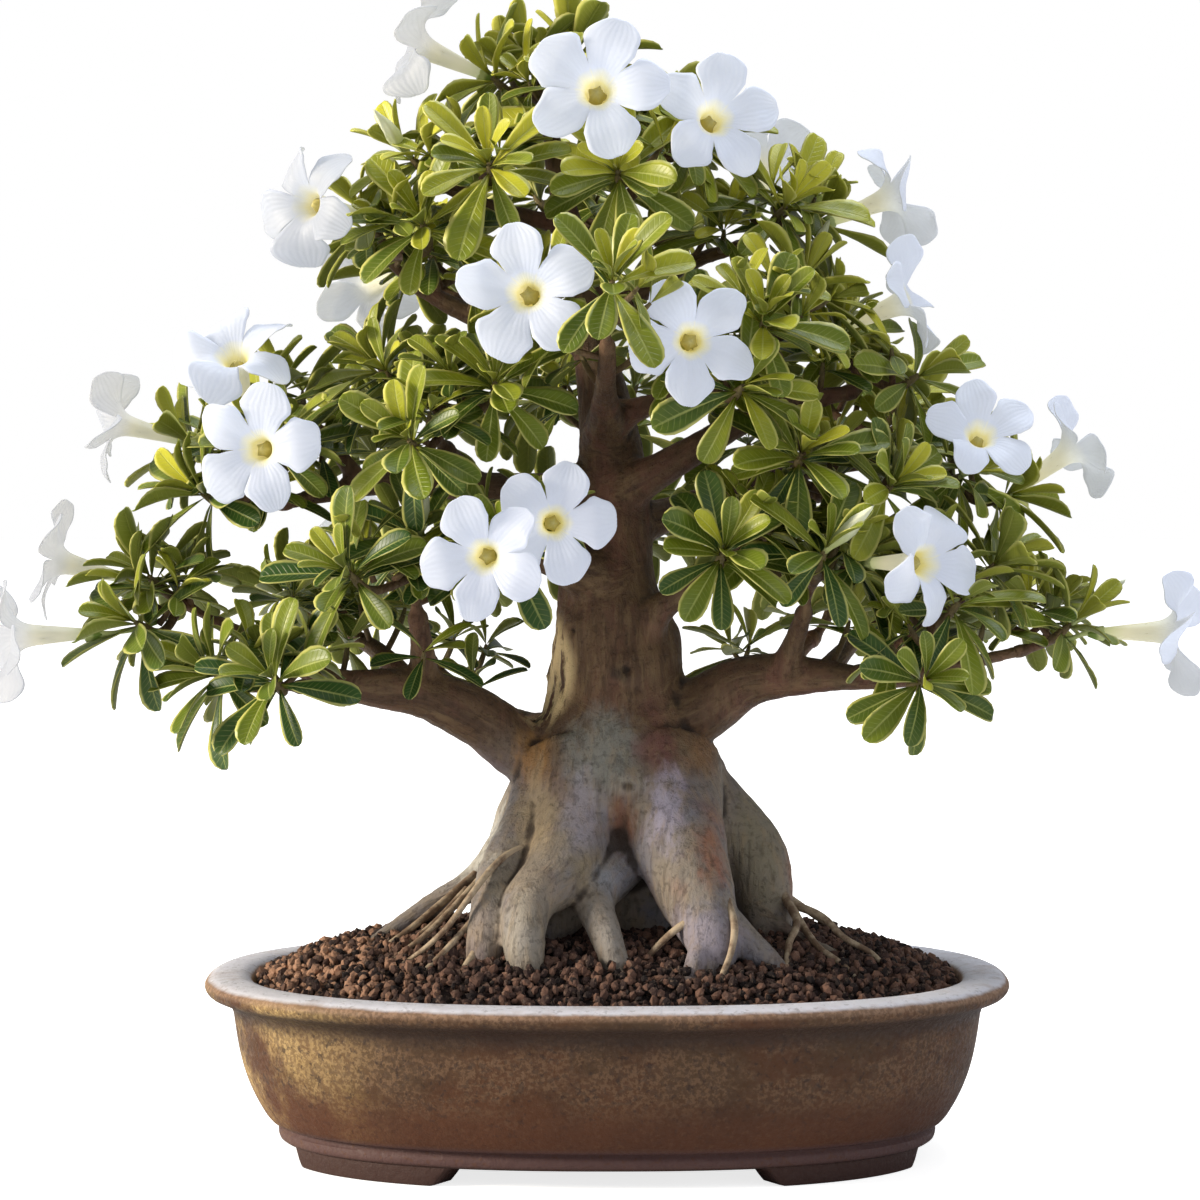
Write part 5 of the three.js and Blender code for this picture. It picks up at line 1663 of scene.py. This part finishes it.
def ringLeaf(shoot, style, ring, order, k):  # one of a ring's leaves, varied by chance
    count, lean, size, rise, shift, shade = ring

    def draw(c):
        return chance(shoot["number"], style["seed"] + 10 * order + k, c)

    leaf = leafAt(
        shoot,
        turn=(k + shift + style["turn"] * draw(1)) / count * 2 * math.pi,
        lean=lean * math.pi / 2 + style["lean"] * (draw(2) - 0.5),
        size=size * (style["size"][0] + style["size"][1] * draw(3)),
        droop=0.3 + 0.3 * draw(4),
        widthRatio=style["width"][0] + style["width"][1] * draw(5),
        rise=rise,
    )
    leaf["ring"] = shade
    return leaf


def extraLeaves(spray, blossoms, woodTree, woodRadii):
    leaves = []
    for kind, style in extraLeafRings.items():
        for shoot in spray[kind]:
            for order, ring in enumerate(style["rings"]):
                leaves += [ringLeaf(shoot, style, ring, order, k) for k in range(ring[0])]
    return [leaf for leaf in leaves if fits(leaf, blossoms, woodTree, woodRadii)]


def woodSearch():  # finds the wood nearest to a place
    paths = [trunkLine, *(limb["path"] for limb in limbs.values())]
    points = np.concatenate([smoothPath(path, 5) for path in paths])
    return searchTree(points[:, :3]), points[:, 3]


def addSideShoots(sprays):  # short shoots on the twigs and limbs, each with a path for its stem
    number = 500
    for spray in sprays:
        spray["sides"] = []
        starts = []
        for order in range(len(spray["shoots"])):
            path = smoothPath(twigPath(spray, order), 2)
            starts += [(path, share, 1.0) for share in sideShoots["along"]]
        limb = limbs.get(spray["name"])
        if limb:
            path = smoothPath(limb["path"], 2)
            if len(path) * 2 > sideShoots["limbLength"]:
                starts += [(path, share, sideShoots["limbReach"]) for share in sideShoots["onLimb"]]
        for path, share, longer in starts:
            k = min(int(share * len(path)), len(path) - 2)
            root, way = path[k, :3], unit(path[k + 1, :3] - path[k, :3])
            angle = chance(number, 1, 1) * 2 * math.pi
            out = np.array([math.cos(angle), math.sin(angle), 0.9 * chance(number, 2, 1)])
            out = unit(out - way * out.dot(way) * 0.8 + [0, 0, 0.35])
            reach = path[k, 3] + sideShoots["length"] * longer * (0.7 + 0.6 * chance(number, 3, 1))
            foot = root + out * reach
            axis = unit(out + np.array([0, 0, 0.5]))
            spray["sides"].append({"foot": foot, "axis": axis, "number": number, "root": root})
            number += 1


def leafOutline(t):  # half the width of a leaf, 1 at its widest
    return t**1.1 * math.sqrt(max(0.0, 1 - t**4)) / 0.602


def makeLeafShapes(material):  # leaf blades: a few droops, each in a few shapes
    shapes = bpy.data.collections.new("leafShapes")
    rows, columns = leafForm["rows"], leafForm["columns"]
    low, high = leafForm["droop"]
    for kind in range(leafForm["droopKinds"] * leafForm["looks"]):
        bend, look = kind // leafForm["looks"], kind % leafForm["looks"]
        droop = low + (high - low) * (bend + 0.5) / leafForm["droopKinds"]
        stations = [math.sin(k / rows * math.pi / 2) ** 0.9 for k in range(1, rows)]
        top, under, fields = [], [], []
        for t in stations:
            half = leafOutline(t) * leafForm["width"] / 2
            ruffle = (0, 0.9, -0.7)[look] * math.sin(9 * t + look) * t
            twist = (0, 0.16, -0.2)[look] * t
            angle = droop * t
            middle = Vector((0, math.sin(angle), math.cos(angle) - 1)) * leafForm["length"] / droop
            up = Vector((0, math.sin(angle), math.cos(angle)))
            for j in range(columns + 1):
                across = 2 * j / columns - 1
                cup = half * leafForm["fold"] * abs(across) ** 1.35 + twist * half * across
                cup += ruffle * across * abs(across)
                side = Vector((across * half * (1 - 0.04 * abs(across)), 0, 0))
                base = middle + side + up * cup
                edge = 1 - abs(across) ** 4
                top.append(base + up * leafForm["thickness"] / 2 * edge)
                under.append(base - up * leafForm["thickness"] / 2 * edge)
                fields.append((t, across))
        tipPoint = Vector((0, math.sin(droop), math.cos(droop) - 1)) * leafForm["length"] / droop
        verts, values, faces = joinBlade(top, under, fields, tipPoint, rows - 1, columns)
        mesh = meshOf("leafBlade%02d" % kind, [Vector(v) * mm for v in verts], faces)
        for name, column in zip(("along", "across", "back"), zip(*values)):
            setValues(mesh, name, column)
        faceOut(mesh)
        shadeSmooth(mesh)
        mesh.materials.append(material)
        shapes.objects.link(bpy.data.objects.new(mesh.name, mesh))
    return shapes


def joinBlade(top, under, fields, tipPoint, rows, columns):  # closes a blade: both faces share their rim
    verts, values = [(0, 0, 0)], [(0.0, 0.0, 0.0)]
    upper, lower = {}, {}
    for side, points, back in ((upper, top, 0.0), (lower, under, 1.0)):
        for n, (point, field) in enumerate(zip(points, fields)):
            place = divmod(n, columns + 1)
            if back and place[1] in (0, columns):
                lower[place] = upper[place]
                continue
            side[place] = len(verts)
            verts.append(point)
            values.append((*field, back))
    tip = len(verts)
    verts.append(tipPoint)
    values.append((1.0, 0.0, 0.0))
    faces = []
    for grid, flip in ((upper, False), (lower, True)):
        for j in range(columns):
            strip = [(0, grid[0, j + 1], grid[0, j])]
            strip += [
                (grid[i, j], grid[i, j + 1], grid[i + 1, j + 1], grid[i + 1, j]) for i in range(rows - 1)
            ]
            strip.append((grid[rows - 1, j], grid[rows - 1, j + 1], tip))
            faces += [face[::-1] if flip else face for face in strip]
    return verts, values, faces


def leafTone(leaf, number):  # yellow-green at the top, at the outer edges and in the heart of a rosette, deep green low down; the lighter top and edges and the darker low leaves are partly painted light and shade
    height = (leaf["foot"][2] - 250) / 260
    ring = (0.0, 0.10, -0.12, 0.06, 0.28)[leaf["ring"]]
    # painted light: leaves at the outer edges of the crown are made yellower
    outer = 0.16 * smoothStep((abs(leaf["foot"][0]) - 110) / 100) + 0.14 * smoothStep(leaf["foot"][0] / 120)
    return float(np.clip(0.08 + 0.5 * height + ring + outer + 0.5 * (chance(number, 5, 17) - 0.5), 0, 1))


def leafTurn(leaf):  # a leaf's frame: across it, along it, and up from its face
    across = np.cross(leaf["way"], leaf["up"])
    return Matrix(np.stack([across, leaf["way"], leaf["up"]], 1).tolist()).to_euler()


def pointObject(name, places, turns, sizes, kinds, tones):
    mesh = meshOf(name, [np.array(p) * mm for p in places], [])
    setValues(mesh, "turn", [list(t) for t in turns], "FLOAT_VECTOR")
    setValues(mesh, "size", [list(s) for s in sizes], "FLOAT_VECTOR")
    setValues(mesh, "kind", kinds, "INT")
    setValues(mesh, "tone", tones)
    return addObject(name, mesh)


def bladeSize(leaf):
    size = leaf["size"]
    return size * leaf["widthRatio"] * leafForm["slender"], size, size


def bladeKind(leaf, seed):  # the blade whose droop is nearest to the leaf's, in one of its looks
    low, high = leafForm["droop"]
    bend = int((leaf["droop"] - low) / (high - low) * leafForm["droopKinds"])
    bend = min(max(bend, 0), leafForm["droopKinds"] - 1)
    return bend * leafForm["looks"] + int(chance(seed, 1, 3) * leafForm["looks"])


def makeFoliage(sprays, blossoms):
    material = leafMaterial()
    shapes = makeLeafShapes(material)
    found = findSolidLeaves(sprays)
    print("leaves found in the solids:", sum(map(len, found.values())))
    woodTree, woodRadii = woodSearch()
    total = 0
    for spray in sprays:
        leaves = found.get(spray["name"], []) + extraLeaves(spray, blossoms, woodTree, woodRadii)
        seeds = [spray["shoots"][0]["number"] * 100 + k for k in range(len(leaves))]
        item = pointObject(
            "leaves_" + spray["name"], [leaf["foot"] for leaf in leaves], map(leafTurn, leaves),
            map(bladeSize, leaves), list(map(bladeKind, leaves, seeds)), list(map(leafTone, leaves, seeds)),
        )
        useTree(item, copyTree, Shapes=shapes, Material=material)
        madePlain(item)
        finishPiece(item, "leaf", "spray_" + spray["name"])
        total += len(leaves)
    dropShapes(shapes)
    print("leaves made:", total)


def stalkPath(sprays, blossom):
    spray = next(s for s in sprays if s["name"] == blossom["limb"])
    below, end = (np.array(p) for p in twigPath(spray, blossom["tip"])[-2:])
    start = below[:3] + (end[:3] - below[:3]) * twig["stalkAt"]
    last = blossom["foot"] + blossom["way"] * 1.5
    before = blossom["foot"] - blossom["way"] * stalk["straight"]
    return [
        [*start, stalk["radius"]], [*(before * 0.5 + start * 0.5 - [0, 0, 1.5]), stalk["radius"]],
        [*before, stalk["radius"]], [*last, stalk["atFlower"]],
    ]


def makeTwigs(sprays, material):
    paths, youth = [], []
    for spray in sprays:
        for order in range(len(spray["shoots"])):
            points = twigPath(spray, order)
            if order == 0:
                sunk = spray["seat"] - spray["way"] * twig["sunk"]
                points = [[*sunk, spray["radius"] * 0.96], [*spray["seat"], spray["radius"] * 0.98], *points]
                points[2][3] = spray["radius"] * 0.94
            shoot = spray["shoots"][order]
            tip = shoot["foot"] + shoot["axis"] * shootForm["step"] * 3
            points.append([*shoot["foot"], shootForm["radius"]])
            points.append([*tip, 1.2])
            path = smoothPath(points, twig["step"])
            paths.append(path)
            youth += list(np.linspace(0, 1, len(path)))
        for shoot in spray["sides"]:
            bend = (shoot["root"] + shoot["foot"]) / 2 - np.array([0, 0, 1.2])
            thick = sideShoots["radius"]
            tip = shoot["foot"] + shoot["axis"] * shootForm["step"] * 2
            points = [
                [*shoot["root"], thick * 1.2], [*bend, thick * 1.1], [*shoot["foot"], thick], [*tip, 0.8],
            ]
            path = smoothPath(points, twig["step"])
            paths.append(path)
            youth += list(np.linspace(0.4, 1, len(path)))
    item = edgeObject("twigs", paths)
    setValues(item.data, "young", youth)
    useTree(item, tubeTree, Sides=12, Material=material)
    madePlain(item)
    finishPiece(item, "bark")


def makeStalks(sprays, blossoms):
    paths = [smoothPath(stalkPath(sprays, blossom), 2.5) for blossom in blossoms]
    item = edgeObject("flowerStalks", paths)
    setValues(item.data, "fade", np.concatenate([np.linspace(0, 1, len(path)) for path in paths]))
    material = stemMaterial("stalkGreen", stemLook["green"], stemLook["pale"], "fade")
    useTree(item, tubeTree, Sides=10, Material=material)
    madePlain(item)
    finishPiece(item, "leaf")


blossomForm = {
    "lobes": 5,
    "tube": [
        [2.3, 0], [2.6, 3], [3.1, 9], [3.7, 15], [4.3, 21], [4.8, 26], [5.3, 30], [6.0, 33.4], [7.3, 36.2],
        [9.2, 38.4],
    ],
    "mouth": 9.2,
    "mouthHeight": 38.4,
    "lobeLength": 23.6,
    "lobeWidth": 12.6,  # half of its widest
    "rows": 16,
    "columns": 12,
    "tubeRows": 18,
    "thickness": 0.5,
    "tip": 0.14,  # how far a lobe may tip up or down, in radians
    # Looks of a lobe: how round its tip is, its bend in radians (below 0: back), its twist in mm and its
    # share of the width. The first four are on the blossoms that face the viewer.
    "looks": [
        (1.9, 0.0, 2.0, 1.0), (2.3, -0.2, 1.2, 1.05), (1.1, 0.15, 3.0, 0.9), (1.45, -0.1, 2.4, 0.98),
        (1.9, -0.9, 6.0, 0.95), (1.5, 0.55, 8.0, 0.9), (2.0, -0.5, 8.0, 1.0),
    ],
    "facing": 0.8,  # from here on a blossom counts as facing the viewer
    "facingLooks": 4,
    "waves": [0.07, 10],  # depth and frequency of the wavy outline
    "waist": (0.3, 0.16, 0.09),  # its place along a lobe, its reach and its depth
    "reach": 0.985,  # a lobe ends in a short edge, not in a point
    "rib": 0.09,
}


def lobeMesh(look):  # a broad wavy lobe whose foot is a fifth of the mouth
    form = blossomForm
    rows, columns = form["rows"], form["columns"]
    half = math.pi / form["lobes"]
    verts, reach, across = [], [], []
    roundness, bend, twist, width = form["looks"][look]
    bend = bend or 0.01
    depth, often = form["waves"]
    waistAt, waistReach, waistDepth = form["waist"]
    for i in range(rows + 1):
        v = math.sin(i / rows * math.pi / 2) * form["reach"]
        radius = form["mouth"] + form["lobeLength"] * math.sin(bend * v) / bend
        bent = form["lobeLength"] * (1 - math.cos(bend * v)) / bend
        rounded = max(0.0, 1 - (max(0.0, v - 0.45) / 0.55) ** roundness) ** 0.5
        waist = 1 - waistDepth * math.exp(-(((v - waistAt) / waistReach) ** 2))
        wide = min(radius * math.tan(half) * waist, form["lobeWidth"] * width) * rounded
        free = smoothStep((v - 0.04) / 0.26)
        for j in range(columns + 1):
            u = 2 * j / columns - 1
            edge = 1 + depth * math.sin(often * v + 2.3 * look + (1.9 if u > 0 else 0)) * smoothStep(v / 0.5)
            x = radius * (math.cos(u * half) * (1 - free) + free) - form["mouth"]
            y = radius * math.sin(u * half) * (1 - free) + wide * u * free * edge
            y += (1.4 if look % 2 else -1.0) * v * v
            aside = u * rounded  # how far it is from the middle, against the lobe's widest
            rise = 5.6 * (1 - (1 - min(v / 0.55, 1)) ** 2) - 6.0 * max(0, v - 0.55) ** 1.5
            twistUp = -twist * aside * smoothStep(v / 0.6)
            wave = 1.5 * math.sin(2.6 * aside + 1.7 * look) * v**1.5
            ruffle = 1.5 * abs(aside) ** 3 * math.sin(8.5 * v + 2.1 * look) * v
            groove = -0.8 * math.exp(-((aside / 0.22) ** 2)) * (1 - v) * smoothStep(v / 0.2)
            z = rise + bent + twistUp + wave + ruffle + groove
            verts.append((x * mm, y * mm, z * mm))
            reach.append(v)
            across.append(u)
    mesh = meshOf("lobe%d" % look, verts, gridFaces(rows + 1, columns + 1))
    setValues(mesh, "reach", reach)
    setValues(mesh, "across", across)
    return mesh


def tubeMesh():  # a trumpet, open at its mouth, its sides in step with the lobes' feet
    form = blossomForm
    around = form["lobes"] * form["columns"]
    profile = smoothPath([[r, z, 0] for r, z in form["tube"]], 0.1)[:, :2]
    rows = form["tubeRows"]
    stations = profile[np.linspace(0, len(profile) - 1, rows + 1).astype(int)]
    half = math.pi / form["lobes"]
    verts, reach, across = [], [], []
    for radius, height in stations:
        for k in range(around):
            turn = k / around * 2 * math.pi - half
            fade = smoothStep(height / 20) * (1 - height / 38)
            r = radius * (1 - form["rib"] * math.cos(form["lobes"] * turn) * fade)
            verts.append((r * math.cos(turn) * mm, r * math.sin(turn) * mm, height * mm))
            reach.append(height / form["mouthHeight"] - 1)
            across.append(2 * (k % form["columns"]) / form["columns"] - 1)
    mesh = meshOf("trumpet", verts, cappedFaces(rows + 1, around)[:-1])
    setValues(mesh, "reach", reach)
    setValues(mesh, "across", across)
    return mesh


def blossomTurn(blossom):  # +Z turned to the blossom's way the short way round, after its roll
    swing = Vector((0, 0, 1)).rotation_difference(Vector(blossom["way"]))
    return swing @ Quaternion((0, 0, 1), blossom["roll"])


def makeBlossoms(blossoms):
    outside = petalMaterial("petalOutside", False)
    inside = petalMaterial("petalInside", True)
    looks = len(blossomForm["looks"])
    lobes = bpy.data.collections.new("lobeShapes")
    for look in range(looks):
        lobes.objects.link(bpy.data.objects.new("lobe%d" % look, lobeMesh(look)))
    trumpet = bpy.data.objects.new("trumpet", tubeMesh())
    for number, blossom in enumerate(blossoms):
        facing = -blossom["way"][1] > blossomForm["facing"]
        first, last = (0, blossomForm["facingLooks"] - 1) if facing else (2, looks - 1)
        item = addObject("blossom_%02d" % (number + 1), bpy.data.meshes.new("blossom"))
        useTree(
            item, whorlTree, Shapes=lobes, First=first, Last=last, Tube=trumpet,
            Lobes=blossomForm["lobes"], Radius=blossomForm["mouth"] * mm,
            Height=blossomForm["mouthHeight"] * mm, Tip=blossomForm["tip"] * (1 if facing else 2),
            Seed=number, Material=outside, Place=tuple(blossom["foot"] * mm),
            Turn=tuple(blossomTurn(blossom).to_euler()), Size=float(blossom["size"]),
        )
        madePlain(item)
        item.data.materials.append(inside)
        wall = item.modifiers.new("wall", "SOLIDIFY")
        wall.thickness = blossomForm["thickness"] * mm
        wall.offset = -1
        wall.material_offset = 1
        madePlain(item)
        # how much the blossom faces the key lamp on the left, for its painted shade
        setValues(item.data, "age", [smoothStep((-blossom["way"][0] - 0.3) / 0.5)] * len(item.data.vertices))
        shadeSmooth(item.data)
        finishPiece(item, "petal", "flower_%02d" % (number + 1))
    dropShapes(lobes)
    bpy.data.objects.remove(trumpet)
    print("blossoms made:", len(blossoms))


def lathe(name, profile, around, ribs=0, ribDepth=0.0, twist=0.0):  # a closed turned shape, ribbed if asked
    verts, along = [(0, 0, profile[0][1] * mm)], [0.0]
    top = profile[-1][1]
    for radius, height in profile[1:-1]:
        for k in range(around):
            turn = k / around * 2 * math.pi + twist * height
            r = radius * (1 + ribDepth * math.cos(ribs * (turn - twist * height)))
            verts.append((r * math.cos(turn) * mm, r * math.sin(turn) * mm, height * mm))
            along.append(height / top)
    verts.append((0, 0, top * mm))
    along.append(1.0)
    rows = len(profile) - 2
    faces = gridFaces(rows, around, closed=True, start=1)
    last = len(verts) - 1
    for k in range(around):
        n = (k + 1) % around
        faces.append((0, 1 + n, 1 + k))
        faces.append((last, last - around + k, last - around + n))
    mesh = meshOf(name, verts, faces)
    setValues(mesh, "along", along)
    faceOut(mesh)
    shadeSmooth(mesh)
    return mesh


budForm = {
    "profile": [
        [0, 0], [1.5, 0.2], [1.7, 3], [2.6, 8], [3.7, 14], [4.0, 19], [3.3, 25], [2.0, 31], [0.9, 36],
        [0, 38],
    ],
    "around": 15,
    "ribDepth": 0.13,
    "twist": 0.06,
    "up": 2.5,  # how far up its shoot it starts, in steps
}
stamenForm = {
    "profile": [[0, 18], [1.8, 18.4], [3.3, 22], [3.9, 26], [3.7, 29.4], [2.4, 32.6], [1, 34.4], [0, 34.9]],
    "around": 15,
    "ribDepth": 0.22,
}
calyxForm = {
    "profile": [[0, -3.4], [1.5, -3.2], [2.3, -1], [3.1, 1.2], [3.5, 4.6], [2.8, 5.2], [0, 3.4]],
    "around": 20,
    "ribDepth": 0.16,
}


def makeCopies(name, mesh, slot, material, places, turns, sizes):
    shapes = bpy.data.collections.new(name + "Shapes")
    mesh.materials.append(material)
    shapes.objects.link(bpy.data.objects.new(name + "Shape", mesh))
    count = len(places)
    item = pointObject(name, places, turns, sizes, [0] * count, [chance(k, 3, 9) for k in range(count)])
    useTree(item, copyTree, Shapes=shapes, Material=material)
    madePlain(item)
    dropShapes(shapes)
    finishPiece(item, slot)


def makeBuds(sprays):
    places, turns, sizes = [], [], []
    for k, (limb, tip, lean) in enumerate(budsAt):
        shoot = next(s for s in sprays if s["name"] == limb)["shoots"][tip]
        axis = shoot["axis"]
        side = unit(np.array([-axis[1], axis[0], 0]))
        way = unit(axis + side * lean)
        places.append(shoot["foot"] + axis * shootForm["step"] * budForm["up"])
        turns.append(Vector((0, 0, 1)).rotation_difference(Vector(way)).to_euler())
        size = 0.86 + 0.16 * chance(k, 2, 2)
        sizes.append((size, size, size))
    mesh = lathe("bud", budForm["profile"], budForm["around"], 5, budForm["ribDepth"], budForm["twist"])
    material = stemMaterial("budSkin", stemLook["pale"], stemLook["cream"], "along")
    makeCopies("buds", mesh, "petal", material, places, turns, sizes)


def makeHearts(blossoms):  # the calyx under each blossom and the cone of anthers in its throat
    places = [b["foot"] for b in blossoms]
    turns = [blossomTurn(b).to_euler() for b in blossoms]
    sizes = [(b["size"],) * 3 for b in blossoms]
    cup = lathe("calyx", calyxForm["profile"], calyxForm["around"], 5, calyxForm["ribDepth"])
    green = stemMaterial("calyxGreen", stemLook["green"], stemLook["pale"], "along")
    makeCopies("calyxes", cup, "leaf", green, places, turns, sizes)
    cone = lathe("anthers", stamenForm["profile"], stamenForm["around"], 5, stamenForm["ribDepth"])
    straw = stemMaterial("anther", petalLook["olive"], petalLook["yellow"], "along")
    makeCopies("anthers", cone, "petal", straw, places, turns, sizes)


sprays = makeSprays()
addSideShoots(sprays)
blossoms = [blossomPlace(row) for row in blooms]
makeTwigs(sprays, bark)
makeStalks(sprays, blossoms)
makeFoliage(sprays, blossoms)
makeBuds(sprays)
makeBlossoms(blossoms)
makeHearts(blossoms)
